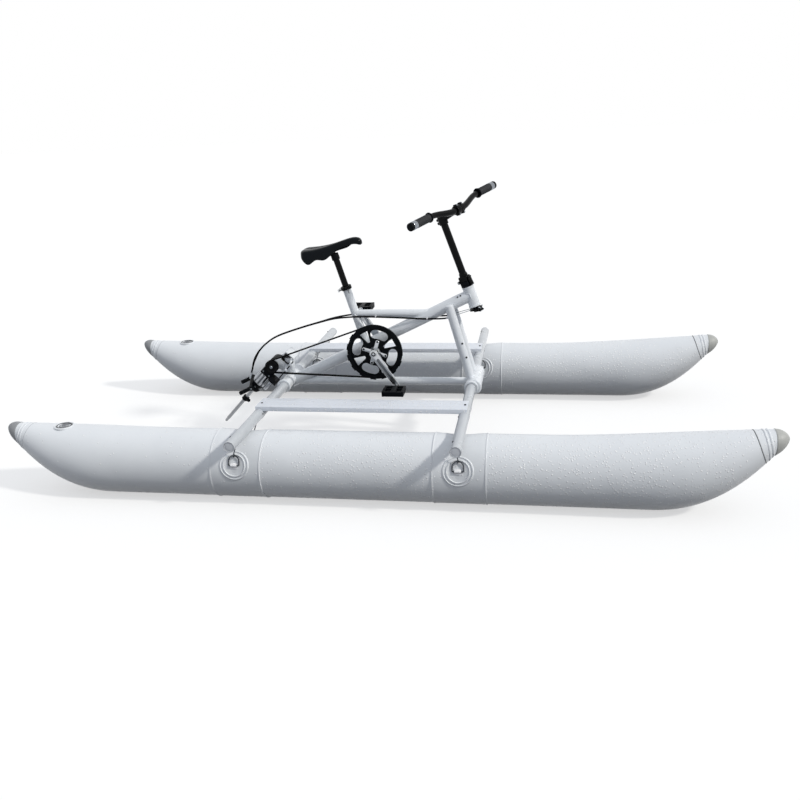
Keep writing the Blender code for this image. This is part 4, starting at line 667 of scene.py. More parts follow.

# %% [markdown]
# ### Metals, plastics and rubbers
# The lashing rings are stainless wire darkened as painted shade in their reflections, and the bolts on the
# leg stainless. The cranks are polished aluminium with a darker flute whose grey is painted shade, and the
# leg's housing is cast, darker between its flutes as painted shade. The post and bar are black anodised,
# the belt wheel and pedals glass-filled nylon, the saddle vinyl, and the grips ribbed grey rubber.

# %% Dark and metal finishes
stainless = surface(
    "polished stainless wire", "#a3a8ae", 0.16, 1.0, second="#7b8087", blotch=0.008, rough_swing=0.06,
)
# Painted shade: the ring wire is stainless darkened to a dark grey, copying the dark reflections it shows.
shaded_ring_steel = surface(
    "stainless ring wire in painted shade", "#54585e", 0.2, 1.0, second="#383b40", blotch=0.006, rough_swing=0.06,
)
zinc_bolt = surface("black zinc bolt", "#17181a", 0.38, 0.7, second="#2a2b2e", blotch=0.002)
polished_alloy = surface(
    "polished aluminium", "#cbced1", 0.19, 1.0, second="#b0b3b7", blotch=0.03, rough_swing=0.06,
)
ribbed_alloy = surface(
    "cast aluminium housing", "#c6c9ce", 0.24, 1.0, second="#a4a7ad", blotch=0.02, rough_swing=0.08,
)
# Painted shade: the flute's darker grey copies the shade in the recessed flute on each crank.
flute_shade_alloy = surface("aluminium flute in painted shade", "#74787c", 0.32, 1.0, second="#5a5d61", blotch=0.01)
# Painted shade: the housing's core shows between its flutes, darker to copy the shade in the grooves.
groove_shade_alloy = surface("cast aluminium in painted groove shade", "#808489", 0.36, 1.0, second="#63666b", blotch=0.01)
black_anodised = surface(
    "black anodised aluminium", "#030405", 0.25, second="#07080a", blotch=0.02,
    grain=[(0.001, 0.00001, "fine")], specular_ior_level=0.1,
)
black_casting = surface(
    "black painted casting", "#06080b", 0.44, second="#0e1116", blotch=0.012,
    grain=[(0.0018, 0.00008, "fine")], specular_ior_level=0.06,
)
black_nylon = surface(
    "black glass-filled nylon", "#06080b", 0.42, second="#0c0f13", blotch=0.02,
    grain=[(0.0008, 0.00006, "fine")], specular_ior_level=0.06,
)
saddle_vinyl = surface(
    "black saddle vinyl", "#04080d", 0.28, second="#0a1016", blotch=0.03,
    grain=[(0.0011, 0.00003, "cells")], specular_ior_level=0.1,
)
black_rubber = surface(
    "black rubber", "#060607", 0.55, second="#0c0c0e", blotch=0.01, grain=[(0.001, 0.00008, "fine")],
    specular_ior_level=0.04,
)
cable_sleeve = surface(
    "black cable sleeve", "#060608", 0.4, second="#0c0c0f", blotch=0.02, grain=[(0.0012, 0.00004, "fine")],
    specular_ior_level=0.05,
)
grip_rubber = surface(
    "grey ribbed grip rubber", "#303236", 0.66, second="#1c1d20", blotch=0.006,
    grain=[(0.0016, 0.0003, "cells")], specular_ior_level=0.35,
)
shaft_steel = surface(
    "turned stainless shaft", "#a9abae", 0.3, 1.0, second="#85878b", blotch=0.01,
    grain=[(0.0012, 0.00004, "fine")],
)
seam_tape = surface("grey seam line", "#66686b", 0.55, second="#5f6164", blotch=0.01)
pale_seam = surface("pale seam line", "#c2c5c9", 0.5, second="#b6b9bd", blotch=0.01)
valve_ring = surface("dark valve rim", "#4c4f53", 0.4, second="#393b3f", blotch=0.004)
print(len(bpy.data.materials), "finishes")

# %% [markdown]
# ## Pontoons
# Each pontoon is a welded tube of coated fabric, 3 m long, round in section. Its keel sweeps up to the bow
# and the stern, its deck rises a little, and the cross tubes press shallow dents in it. The section's
# centre height and radius at x are (deck + keel) / 2 and (deck - keel) / 2.

# %% Pontoon skin
KEEL_FROM, DECK_FROM = 1.03, 0.7
BOW_KEEL, STERN_KEEL = 0.282, 0.25
BOW_DECK, STERN_DECK = 0.05, 0.018
DENT_DEPTH, DENT_HALF = 0.0065, 0.1


def hull_section(x):
    """Centre height and radius of the round section at x (an array). The keel rises with the power 2.3 of
    the way from KEEL_FROM to the tip, the deck with the power 1.5 of the way from DECK_FROM, and each dent
    is DENT_DEPTH (1 - u^2)^2 for u from -1 to 1."""
    x = np.asarray(x, float)
    bow = x > 0
    keel_share = np.maximum(0, (np.abs(x) - KEEL_FROM) / (HULL_HALF - KEEL_FROM))
    deck_share = np.maximum(0, (np.abs(x) - DECK_FROM) / (HULL_HALF - DECK_FROM))
    keel = np.where(bow, BOW_KEEL, STERN_KEEL) * keel_share**2.3
    deck = HULL_DIAMETER + np.where(bow, BOW_DECK, STERN_DECK) * deck_share**1.5
    for tube_x in CROSS_X.values():
        deck = deck - DENT_DEPTH * np.maximum(0, 1 - ((x - tube_x) / DENT_HALF) ** 2) ** 2
    return (deck + keel) / 2, (deck - keel) / 2


def on_hull(side, x, angle, lift=0.0):
    """Points on a pontoon at x and at an angle above its outward waist, lifted off the skin."""
    centre, radius = hull_section(x)
    across = SIDES[side] * (radius + lift) * np.cos(angle)
    x = np.broadcast_to(x, across.shape)
    return np.stack([x, SIDES[side] * HULL_Y + across, centre + (radius + lift) * np.sin(angle)], -1)


HULL_TURN = np.linspace(0, 2 * pi, 96, endpoint=False)[None]


def hull_ring(side, profile, lean=0.0):
    """Skin round the whole pontoon from a profile of (x, lift). With a lean the top of each ring stands
    further back, as a seam does that is square to the rising nose."""
    x, lift = np.asarray(profile, float).T[:, :, None]
    radius = hull_section(x)[1]
    return on_hull(side, x - lean * radius * np.sin(HULL_TURN), HULL_TURN, lift)


def band(side, start, end, lift):
    """A welded sleeve round the pontoon: it stands proud by lift, with a bead of squeezed-out weld along
    each edge."""
    edge, steps = 0.004, 28
    middle = np.linspace(start + 2 * edge, end - 2 * edge, steps)
    rise = [(0.0, 0.0002), (0.35 * edge, lift * 2.4), (0.9 * edge, lift * 2.4), (1.5 * edge, lift)]
    top = [(start + step, up) for step, up in rise] + [(x, lift) for x in middle]
    top += [(end - step, up) for step, up in reversed(rise)]
    under = [(x, -0.0015) for x in np.linspace(end, start, steps)]
    return skin(hull_ring(side, top + under), loop=True)


def seam(side, x, width, lift, lean=0.0):
    """A raised weld line round the pontoon."""
    turn = np.linspace(0, pi, 7)
    profile = np.stack([x - width / 2 * np.cos(turn), lift * np.sin(turn)], 1)
    under = [(x + width / 2, -0.001), (x - width / 2, -0.001)]
    return skin(hull_ring(side, [*profile, *under], lean), loop=True)


HULL_END = HULL_HALF - TIP_LENGTH
hull_x = np.unique(np.concatenate([
    np.linspace(-HULL_END, -1.0, 60), np.linspace(-1.0, 1.0, 101), np.linspace(1.0, HULL_END, 60),
]))
BANDS = {"rear": (-0.593, -0.393), "front": (0.258, 0.458)}
NOSE_LEAN = {"bow": 0.34, "stern": -0.3}
for side in SIDES:
    hull_skins = [skin(hull_ring(side, [(x, 0.0) for x in hull_x]))]
    for end, places in (("bow", (1.424, 1.436)), ("stern", (-1.424, -1.436))):
        hull_skins += [seam(side, x, 0.0075, 0.0022, NOSE_LEAN[end] * 0.6) for x in places]
    piece(f"pontoon_skin_{side}", hull_skins, pvc_fabric, "frame", [f"pontoon_{side}"])
    bands = [band(side, start, end, 0.0013) for start, end in BANDS.values()]
    piece(f"pontoon_bands_{side}", bands, welded_band, "frame")
    bow_seam = seam(side, 1.404, 0.0032, 0.001, NOSE_LEAN["bow"])
    stern_seam = seam(side, -1.409, 0.0026, 0.0008, NOSE_LEAN["stern"])
    piece(f"bow_seam_{side}", [bow_seam], seam_tape, "frame")
    piece(f"stern_seam_{side}", [stern_seam], pale_seam, "frame")

# %% [markdown]
# ### Nose caps and air valves
# A moulded cap closes each end: a short skewed cone with a round nose and a lip where it is welded on. The
# valve is a dished plug with two grip ribs, in a dark ring and a soft white rim.

# %% Nose caps and valves
NOSE_Z = {"bow": 0.277, "stern": 0.262}
NOSE_FINISH = {"bow": bow_rubber, "stern": grey_rubber}
VALVE_X = -1.25
VALVE_RIM = [
    (0.032, -0.006), (0.0325, 0.0006), (0.035, 0.0014), (0.0385, 0.0008), (0.041, -0.0008), (0.041, -0.006),
]
VALVE_SEAT = [
    (0.025, -0.01), (0.0255, 0.0006), (0.0275, 0.0016), (0.03, 0.0016), (0.0319, 0.0006), (0.032, -0.01),
]
VALVE_PLUG = [
    (0, 0.0004), (0.0105, 0.0004), (0.0115, -0.001), (0.0135, -0.001), (0.0145, 0.0004), (0.02, 0.0004),
    (0.0212, -0.0012), (0.025, -0.0046), (0.0252, -0.012), (0, -0.012),
]


def nose_rings(side, end):
    """Rings from the welded base to the round nose: at the share t of the length, the radius is
    base (1 - t^1.7)^0.66, and the centre slides from the hull's to the nose's height."""
    sign = 1 if end == "bow" else -1
    base_z, base_radius = (float(v) for v in hull_section(sign * HULL_END))
    t = np.sin(np.linspace(0, pi / 2, 26))
    lip = 0.0014 * np.exp(-(((t - 0.05) / 0.06) ** 2))
    radius = base_radius * np.maximum(0.0, 1 - t**1.7) ** 0.66 + lip
    radius[-1] = 0.0
    centre_z = base_z + (NOSE_Z[end] - base_z) * t
    ring = circle(1.0, 64)
    grid = np.empty((len(t), 64, 3))
    grid[..., 0] = sign * (HULL_END + 0.0003 + (TIP_LENGTH - 0.0006) * t)[:, None]
    grid[..., 1] = SIDES[side] * HULL_Y + radius[:, None] * ring[None, :, 0]
    grid[..., 2] = centre_z[:, None] + radius[:, None] * ring[None, :, 1]
    return skin(grid)


for side in SIDES:
    for end in ("bow", "stern"):
        piece(f"nose_cap_{end}_{side}", [nose_rings(side, end)], NOSE_FINISH[end], "frame",
              [f"tip_cap_{end}_{side}"])
    deck = float(sum(hull_section(VALVE_X)))
    valve_at = np.array([VALVE_X, SIDES[side] * HULL_Y, deck])
    rim = turned_ring(VALVE_RIM, 0.0012, valve_at, UP, 64)
    piece(f"valve_rim_{side}", [rim], welded_band, "frame")
    seat = turned_ring(VALVE_SEAT, 0.0008, valve_at, UP, 64)
    piece(f"valve_seat_{side}", [seat], valve_ring, "frame")
    rib_half, rib_rise = FORE * 0.0125, UP * 0.001
    cap = [turned(VALVE_PLUG, 0.0006, valve_at, UP, 64)]
    for s in (-1, 1):
        rib_at = valve_at + s * 0.006 * LEFT
        cap.append(bar(rib_at - rib_half + rib_rise, rib_at + rib_half + rib_rise, 0.0013, sides=12))
    piece(f"air_valve_cap_{side}", cap, valve_rubber, "frame", [f"air_valve_{side}"])

# %% [markdown]
# ### Lashing rings
# At each cross tube a round welded patch sits on either face of the pontoon, with two pressed ridges. A
# folded strap on it holds a D-shaped ring of stainless wire, darkened as painted shade, and a wire hook on
# the cross tube, of the same darkened wire, hangs into the ring and ties the tube down.

# %% Patches, straps, rings and hooks
RING_RISE = radians(20)
RING_STAND_OFF = 0.0055
RING_X = {"front": CROSS_X["front"], "rear": CROSS_X["rear"] - 0.018}


def ring_frame(end, side, face):
    """Origin on the skin, and rows: along the boat, up the skin, outwards."""
    outward = SIDES[side] * (1 if face == "outer" else -1)
    normal = np.array([0.0, outward * cos(RING_RISE), sin(RING_RISE)])
    up_skin = np.array([0.0, -outward * sin(RING_RISE), cos(RING_RISE)])
    centre, radius = (float(v) for v in hull_section(RING_X[end]))
    origin = np.array([RING_X[end], SIDES[side] * HULL_Y, centre]) + normal * radius
    return origin, np.array([np.cross(up_skin, normal), up_skin, normal])


def draped(profile, end, side, face):
    """A disc laid on the round skin: a profile of (distance from the ring, lift), turned about it."""
    distance, lift = np.asarray(profile, float).T[:, :, None]
    turn = np.linspace(0, 2 * pi, 72, endpoint=False)[None]
    x = RING_X[end] + distance * np.cos(turn)
    middle = RING_RISE if face == "outer" else pi - RING_RISE
    around = distance * np.sin(turn) / (HULL_DIAMETER / 2)
    return skin(on_hull(side, x, middle + around, lift + 0.0013))


PATCH = [
    (0, 0.001), (0.039, 0.001), (0.0405, 0.004), (0.0435, 0.004), (0.045, 0.0008), (0.0515, 0.0008),
    (0.053, 0.0036), (0.056, 0.003), (0.0585, 0.0000), (0.059, -0.0016), (0, -0.002),
]
D_RING = np.concatenate([arc(0.0205, 0, pi, 18, (0, 0.018)), [(-0.0205, 0.0)], [(0.0205, 0.0)]])
HAIRPIN = np.concatenate([
    [(-0.01, -0.002), (-0.0062, 0.0035)],
    arc(0.0043, pi, 0, 8, (0.0002, 0.0062)),
    [(0.0068, 0.003), (0.0115, -0.002)],
])
STRAP = [(-0.0125, -0.0009), (0.0125, -0.0009), (0.0125, 0.0009), (-0.0125, 0.0009)]
for side in SIDES:
    patches, straps, rings = [], [], []
    for end in CROSS_X:
        for face in ("outer", "inner"):
            patches.append(draped(soften(PATCH, 0.0009, 2), end, side, face))
            origin, rows = ring_frame(end, side, face)
            path = soften(D_RING, 0.004, 4, closed=True)
            flat = np.column_stack([path[:, 0], path[:, 1], np.full(len(path), RING_STAND_OFF)])
            rings.append(wire(origin + flat @ rows, 0.0025, 12, rows[2], loop=True))
            fold = curve_through(HAIRPIN, 3)
            fold = np.column_stack([np.zeros(len(fold)), fold[:, 0], fold[:, 1]]) @ rows
            across_fold = np.cross(rows[0], unit(np.gradient(fold, axis=0)))
            straps.append(sweep(origin + fold, soften(STRAP, 0.0008, closed=True), across_fold))
            stitch_ends = origin + np.array([[x, -0.0115, 0.0022] for x in (-0.0135, 0.0135)]) @ rows
            straps.append(wire(np.linspace(*stitch_ends, 12), 0.0011, 8, rows[2]))
    piece(f"ring_patches_{side}", patches, welded_band, "frame")
    piece(f"ring_straps_{side}", straps, webbing, "frame")
    piece(f"lashing_rings_{side}", rings, shaded_ring_steel, "frame", [
        f"lashing_ring_{end}_{side}_{face}" for end in CROSS_X for face in ("outer", "inner")
    ])


def hook(end, side, face):
    """A J of wire: from under the cross tube down, and round the top of the ring."""
    origin, rows = ring_frame(end, side, face)
    top = origin + np.array([0, 0.0385, RING_STAND_OFF]) @ rows
    outward = SIDES[side] * (1 if face == "outer" else -1)
    curl = arc(0.0056, 0, -pi, 10)
    bend = np.column_stack([np.full(11, top[0]), top[1] + outward * curl[:, 0], top[2] + curl[:, 1]])
    start = np.array([[CROSS_X[end], bend[0, 1], CROSS_Z - CROSS_RADIUS + 0.004]])
    return wire(np.concatenate([start, bend, bend[-1:] + UP * 0.004]), 0.0021, 10, FORE)


# %% [markdown]
# ## Cross tubes, joints and foot planks
# Four pale grey tubes reach out from two sleeves on the middle line and lie across the pontoons. Each has
# a moulded plug in its end and two thin straps round it under the foot plank.

# %% Cross tubes
CROSS_OUTLINE = [
    (0, 0), (CROSS_RADIUS, 0), (CROSS_RADIUS, 0.7685), (0.0192, 0.7685), (0.0192, 0.765), (0, 0.765),
]
CROSS_STRAP = [(0.0208, -0.011), (0.0221, -0.01), (0.0221, 0.01), (0.0208, 0.011)]
TUBE_PLUG = [(0, 0.7674), (0.012, 0.7674), (0.015, 0.7662), (0.0186, 0.767), (0.019, 0.76), (0, 0.76)]
for end, x in CROSS_X.items():
    for side, sign in SIDES.items():
        root = np.array([x, sign * 0.03, CROSS_Z])
        tube = turned(CROSS_OUTLINE, 0.0007, root, LEFT * sign, 56)
        straps = [
            turned_ring(CROSS_STRAP, 0.0008, (x, sign * y, CROSS_Z), LEFT, 56) for y in (0.4545, 0.3655)
        ]
        piece(f"cross_tube_skin_{end}_{side}", [tube, *straps], tube_coat, "frame",
              [f"cross_tube_{end}_{side}"])
        plug = turned(TUBE_PLUG, 0.0008, root, LEFT * sign, 40)
        piece(f"tube_plug_{end}_{side}", [plug], tube_plug, "frame")
        hooks = [hook(end, side, face) for face in ("outer", "inner")]
        piece(f"ring_hooks_{end}_{side}", hooks, shaded_ring_steel, "frame")

# %% [markdown]
# ### Joints on the middle line
# The rear and front sleeves take the cross tubes' inner ends. The front one has a stout lug over it, with
# two thin webs, that carries the uprights and the centre tube.

# %% Joints on the middle line
SLEEVE_HALF, SLEEVE_COLLAR, SLEEVE_BARREL = 0.12, 0.03, 0.0265


def joint_sleeve(end):
    """A sleeve round the middle line, with a rounded collar at each of its ends."""
    upper = [
        (0.0215, SLEEVE_HALF), (SLEEVE_COLLAR, SLEEVE_HALF), (SLEEVE_COLLAR, SLEEVE_HALF - 0.014),
        (SLEEVE_BARREL, SLEEVE_HALF - 0.019),
    ]
    outline = [*upper, *((radius, -height) for radius, height in reversed(upper))]
    return turned_ring(outline, 0.0022, JOINT_CENTRE[end], LEFT, 64, 4)


piece("rear_joint_casting", [joint_sleeve("rear")], powder_coat, "frame", ["rear_joint"])
lug_centre = JOINT_CENTRE["front"] + FORE * 0.009
lug_outline = [(0, -0.108), (LUG_RADIUS, -0.108), (LUG_RADIUS, 0.108), (0, 0.108)]
front_skins = [joint_sleeve("front"), turned(lug_outline, 0.006, lug_centre, LEFT, 64, 5)]
for y in (-0.098, 0.098):
    web = [(0.033, y - 0.004), (0.0352, y - 0.004), (0.0352, y + 0.004), (0.033, y + 0.004)]
    front_skins.append(turned_ring(web, 0.0012, lug_centre, LEFT, 64))
piece("front_joint_casting", front_skins, powder_coat, "frame", ["front_joint"])

# %% [markdown]
# ### Foot planks
# Two ribbed planks, extruded channels, lie over the cross tubes and are bolted down to them from above and
# from the side.

# %% Foot planks
def plank_outline():
    """Channel section: rounded outer corners, a shallow rib at each third, thin flanges and an open foot."""
    half, low, top, wall = 0.051, -0.01, 0.0088, 0.003
    rib = np.array([(-0.0061, 0.0), (-0.0037, 0.0012), (0.0037, 0.0012), (0.0061, 0.0)])
    crown = np.concatenate([rib + (centre, top) for centre in (-0.017, 0.017)])
    outline = [(-half, low), (-half, top), *crown, (half, top), (half, low), (half - wall, low),
               (half - wall, top - wall), (-half + wall, top - wall), (-half + wall, low)]
    return soften(outline, 0.0012, 3, closed=True)


PLANK_Z = CROSS_Z + CROSS_RADIUS + 0.01 - 0.008
PLANK_MIDDLE, PLANK_LENGTH = -0.06, 0.856
plank_rows = np.array([LEFT, UP, FORE])
for side, sign in SIDES.items():
    place = (PLANK_MIDDLE, sign * PLANK_Y, PLANK_Z)
    plank = plate(plank_outline(), PLANK_LENGTH, place, plank_rows, 0.0006)
    piece(f"foot_plank_skin_{side}", [plank], plank_coat, "frame", [f"foot_plank_{side}"])
    bolts = [
        bolt_head((x, sign * y, PLANK_Z + 0.0088), UP, 0.0044, 0.0032)
        for x, y in ((-0.472, 0.42), (0.357, PLANK_Y))
    ]
    bolts += [
        bolt_head((CROSS_X[end], sign * PLANK_Y - 0.058, CROSS_Z + 0.004), FORE * way, 0.004, 0.0222)
        for end, way in (("rear", 1), ("front", -1))
    ]
    piece(f"plank_bolts_{side}", bolts, zinc_bolt, "frame")
SIDE_BOLT_X = -0.013
side_way = unit((SIDE_BOLT_X * 90, 0, 1))
side_bolts = [
    bolt_head((CROSS_X[end] + SIDE_BOLT_X, sign * 0.738, CROSS_Z + 0.014), side_way, 0.0038, 0.004)
    for end in ("rear", "front") for sign in SIDES.values()
]
piece("cross_tube_bolts", side_bolts, zinc_bolt, "frame")

# %% [markdown]
# ## Frame
# Welded aluminium tubes: a stout main tube from the rear joint up to the head tube, a short top tube, the
# seat tube, a centre tube between the joints and two uprights at the front. Beads run round each weld. Two
# small bolts sit under the main tube's top end, and the seat tube's top is slit for its clamp; the slit is a
# thin black block, painted shade in the gap.

# %% Frame tubes
MAIN_RADIUS, SEAT_RADIUS, TOP_RADIUS, UPRIGHT_RADIUS = 0.026, 0.018, 0.018, 0.019
HEAD_RADIUS, CENTRE_RADIUS = 0.024, 0.0175
HEAD_TOP = HEAD_FOOT + HEAD_AXIS * 0.092
SEAT_TOP = SEAT_FOOT + SEAT_AXIS * 0.275
BEAD = 0.0024
main_foot = main_at(CROSS_X["rear"])
head_meet = joined_path(main_at(0.2), MAIN_AXIS, MAIN_RADIUS, HEAD_FOOT, HEAD_AXIS, HEAD_RADIUS)
main_bar = bar(main_foot, MAIN_TOP - MAIN_AXIS * 0.004, MAIN_RADIUS, 0.003, 64)
main_skins = [main_bar, weld_bead(head_meet, BEAD)]
piece("main_tube_skin", main_skins, powder_coat, "frame", ["main_tube"])
main_above = np.cross(MAIN_AXIS, LEFT)
stop_out = unit(main_above - LEFT)
on_skin = stop_out * (MAIN_RADIUS - 0.0003)
stop_bolts = [
    bolt_head(MAIN_TOP - MAIN_AXIS * back + on_skin, stop_out, 0.0034, 0.0026) for back in (0.038, 0.052)
]
piece("main_tube_bolts", stop_bolts, zinc_bolt, "frame")

head_skins = [pipe(HEAD_FOOT, HEAD_TOP, HEAD_RADIUS, 0.019, 0.001, 64)]
rim = [(0.0235, -0.0045), (0.0256, -0.0035), (0.0256, 0.0035), (0.0235, 0.0045)]
for up, shift in ((0.0, 0.0047), (0.092, -0.0047)):
    head_skins.append(turned_ring(rim, 0.001, HEAD_FOOT + HEAD_AXIS * (up + shift), HEAD_AXIS, 64))
piece("head_tube_skin", head_skins, powder_coat, "frame", ["head_tube"])

main_line = (MAIN_TOP, MAIN_AXIS, MAIN_RADIUS)
seat_meet = joined_path(SEAT_FOOT + SEAT_AXIS * 0.2, -SEAT_AXIS, SEAT_RADIUS, *main_line)
seat_skins = [pipe(SEAT_FOOT, SEAT_TOP, SEAT_RADIUS, 0.0139, 0.0008, 56), weld_bead(seat_meet, BEAD)]
piece("seat_tube_skin", seat_skins, powder_coat, "frame", ["seat_tube"])
slit_out = unit(SEAT_AHEAD * 0.0085 - LEFT * 0.0155)
slit_rows = np.array([np.cross(slit_out, SEAT_AXIS), slit_out, SEAT_AXIS])
slit_at = SEAT_FOOT + SEAT_AXIS * 0.2525 + slit_out * (SEAT_RADIUS - 0.0004)
# Painted shade: the seat tube's slit is a thin black block, copying the shade in the gap.
slit = block((0.0026, 0.0012, 0.017), slit_at, slit_rows, 0.0004)
piece("seat_tube_slit", [slit], black_nylon, "frame")

top_z = 0.578
top_start = SEAT_FOOT + SEAT_AXIS * ((top_z - SEAT_FOOT[2]) / SEAT_AXIS[2])
top_end = main_at_height(top_z)
top_meets = [
    joined_path(top_start + FORE * 0.15, -FORE, TOP_RADIUS, SEAT_FOOT, SEAT_AXIS, SEAT_RADIUS),
    joined_path(top_start + FORE * 0.12, FORE, TOP_RADIUS, *main_line),
]
top_skins = [bar(top_start, top_end, TOP_RADIUS, 0.002, 56), *(weld_bead(path, BEAD) for path in top_meets)]
piece("top_tube_skin", top_skins, powder_coat, "frame", ["top_tube"])

drop = UP * -0.0095
centre_start = JOINT_CENTRE["rear"] + drop + FORE * 0.036
centre_end = JOINT_CENTRE["front"] + drop
centre_meet = joined_path(centre_end - FORE * 0.2, FORE, CENTRE_RADIUS, lug_centre, LEFT, LUG_RADIUS)
centre_skins = [bar(centre_start, centre_end, CENTRE_RADIUS, 0.002, 56), weld_bead(centre_meet, BEAD)]
piece("centre_tube_skin", centre_skins, powder_coat, "frame", ["centre_tube"])

shell_half = LEFT * 0.046
shell = [pipe(CRANK_AXIS - shell_half, CRANK_AXIS + shell_half, 0.023, 0.0125, 0.001, 56)]
for y in (-0.0428, 0.0428):
    rim = [(0.0225, y - 0.003), (0.0238, y - 0.003), (0.0238, y + 0.003), (0.0225, y + 0.003)]
    shell.append(turned_ring(rim, 0.0008, CRANK_AXIS, LEFT, 56))
piece("bottom_bracket_shell", shell, powder_coat, "frame", ["bb_shell"])

for side, sign in SIDES.items():
    foot = JOINT_CENTRE["front"] + LEFT * sign * UPRIGHT_Y
    crown = np.array([0.262, sign * UPRIGHT_Y, 0.62])
    rise = unit(crown - foot)
    length = float(np.linalg.norm(crown - foot))
    outline = [
        (0, 0), (UPRIGHT_RADIUS, 0), (UPRIGHT_RADIUS, length), (UPRIGHT_RADIUS - 0.003, length + 0.0035),
        (0, length + 0.0045),
    ]
    meet = joined_path(foot + rise * 0.15, -rise, UPRIGHT_RADIUS, lug_centre, LEFT, LUG_RADIUS)
    seam_profile = [(0.0185, -0.0012), (0.0196, -0.0006), (0.0196, 0.0006), (0.0185, 0.0012)]
    seam_ring = turned_ring(seam_profile, 0.0004, crown - rise * 0.004, rise, 56)
    upright = [turned(outline, 0.0016, foot, rise, 56, 4), weld_bead(meet, BEAD), seam_ring]
    piece(f"front_upright_skin_{side}", upright, powder_coat, "frame",
          [f"front_upright_{side}"])
    bolts = []
    outward = unit(np.array([0.55, sign * 0.84, 0.0]))
    for share in (0.045, 0.35, 0.53):
        place = foot + (crown - foot) * share
        bolts.append(bolt_head(place + outward * UPRIGHT_RADIUS, outward, 0.0042, 0.0032))
    piece(f"upright_bolts_{side}", bolts, zinc_bolt, "frame")

# %% [markdown]
# ## Crankset
# Two forged, polished arms, each with a long flute on its outer face, drawn as a darker inlay in painted
# shade, stand on a spindle through the bottom bracket. Four spider arms behind the right crank carry the
# belt wheel.

# %% Cranks and spider
CRANK_ROWS = np.array([FORE, UP, -LEFT])


def turned_outline(outline, angle):
    """A flat outline turned anticlockwise by an angle."""
    p = np.asarray(outline, float)
    return p @ np.array([[cos(angle), sin(angle)], [-sin(angle), cos(angle)]])


def crank_outline(root=0.018, tip=0.0125, start=0.0, length=CRANK_LENGTH):
    """Tapered arm: a round root, straight sides, and a rounder eye at the pedal."""
    lean = np.arcsin((root - tip) / (length - start))
    return np.concatenate([
        arc(root, pi / 2 - lean, 3 * pi / 2 + lean, 18, (start, 0)),
        arc(tip, -pi / 2 + lean, pi / 2 - lean, 14, (length, 0)),
    ])


BOSS = [(0, 0.0465), (0.0165, 0.0465), (0.0185, 0.06), (0.0185, 0.092), (0, 0.092)]
COLLAR = [(0, 0.101), (0.0135, 0.101), (0.012, 0.1042), (0, 0.1042)]
WASHER = [(0, 0.101), (0.0085, 0.101), (0.0085, 0.1048), (0, 0.1048)]


def crank_skins(sign, angle):
    """Arm, boss, collar, pedal axle and its washer, each profile's heights counted outwards from the
    boat's middle."""
    out = LEFT * sign
    arm = plate(turned_outline(crank_outline(), angle), 0.0138, CRANK_AXIS + out * 0.095, CRANK_ROWS, 0.0024)
    eye = CRANK_AXIS + np.array([cos(angle) * CRANK_LENGTH, 0, sin(angle) * CRANK_LENGTH])
    boss = turned(BOSS, 0.002, CRANK_AXIS, out, 48)
    collar = turned(COLLAR, 0.0012, CRANK_AXIS, out, 40)
    pin = bar(eye + out * 0.0905, eye + out * 0.2045, 0.0045, 0.001, 24)
    washer = turned(WASHER, 0.0006, eye, out, 32)
    return [arm, boss, collar, pin, washer]


def crank_flute(sign, angle):
    """The long shallow flute along an arm's outer face: a thin darker plate whose grey is painted shade."""
    outline = turned_outline(crank_outline(0.007, 0.0044, 0.034, CRANK_LENGTH - 0.026), angle)
    return plate(outline, 0.0012, CRANK_AXIS + LEFT * sign * 0.1016, CRANK_ROWS, 0.0004)


spider_y = CRANK_AXIS + LEFT * (BELT_Y - 0.00455)
spider_arm = np.concatenate([
    [(0.0, -0.0125), (0.022, -0.0085)],
    arc(0.008, -pi / 2, pi / 2, 12, (0.049, 0)),
    [(0.022, 0.0085), (0.0, 0.0125)],
])
spider_arm = soften(spider_arm, 0.004, closed=True)
right_skins = crank_skins(-1, CRANK_ANGLE)
spider_bolts = []
for i in range(4):
    angle = SPIDER_ANGLE + i * pi / 2
    right_skins.append(plate(turned_outline(spider_arm, angle), 0.0048, spider_y, CRANK_ROWS, 0.0012))
    place = spider_y + 0.0495 * np.array([cos(angle), 0, sin(angle)]) - LEFT * 0.0022
    spider_bolts.append(bolt_head(place, -LEFT, 0.0044, 0.003))
piece("crank_arm_right", right_skins, polished_alloy, "crankset", ["crank_right"])
spindle = bar(CRANK_AXIS - LEFT * 0.088, CRANK_AXIS + LEFT * 0.09, 0.0118, 0.001, 32)
left_skins = [*crank_skins(1, CRANK_ANGLE + pi), spindle]
piece("crank_arm_left", left_skins, polished_alloy, "crankset", ["crank_left"])
piece("crank_flute_right", [crank_flute(-1, CRANK_ANGLE)], flute_shade_alloy, "crankset")
piece("crank_flute_left", [crank_flute(1, CRANK_ANGLE + pi)], flute_shade_alloy, "crankset")
cap_profile = [(0, 0.1032), (0.0045, 0.1032), (0.0052, 0.1058), (0.0094, 0.1058), (0.0098, 0.103), (0, 0.102)]
axle_caps = [turned(cap_profile, 0.0006, CRANK_AXIS, LEFT * sign, 32) for sign in (-1, 1)]
piece("crank_bolts", spider_bolts + axle_caps, zinc_bolt, "crankset")

# %% [markdown]
# ### Belt wheel
# The moulded wheel has four kidney windows over the spider's arms and four straight ones between them, a
# lip round each, and a stepped rim with fifteen lugs on its outer face.

# %% Belt wheel
KIDNEY_HALF_SPAN, KIDNEY_INNER, KIDNEY_OUTER = radians(14), 0.06, 0.101


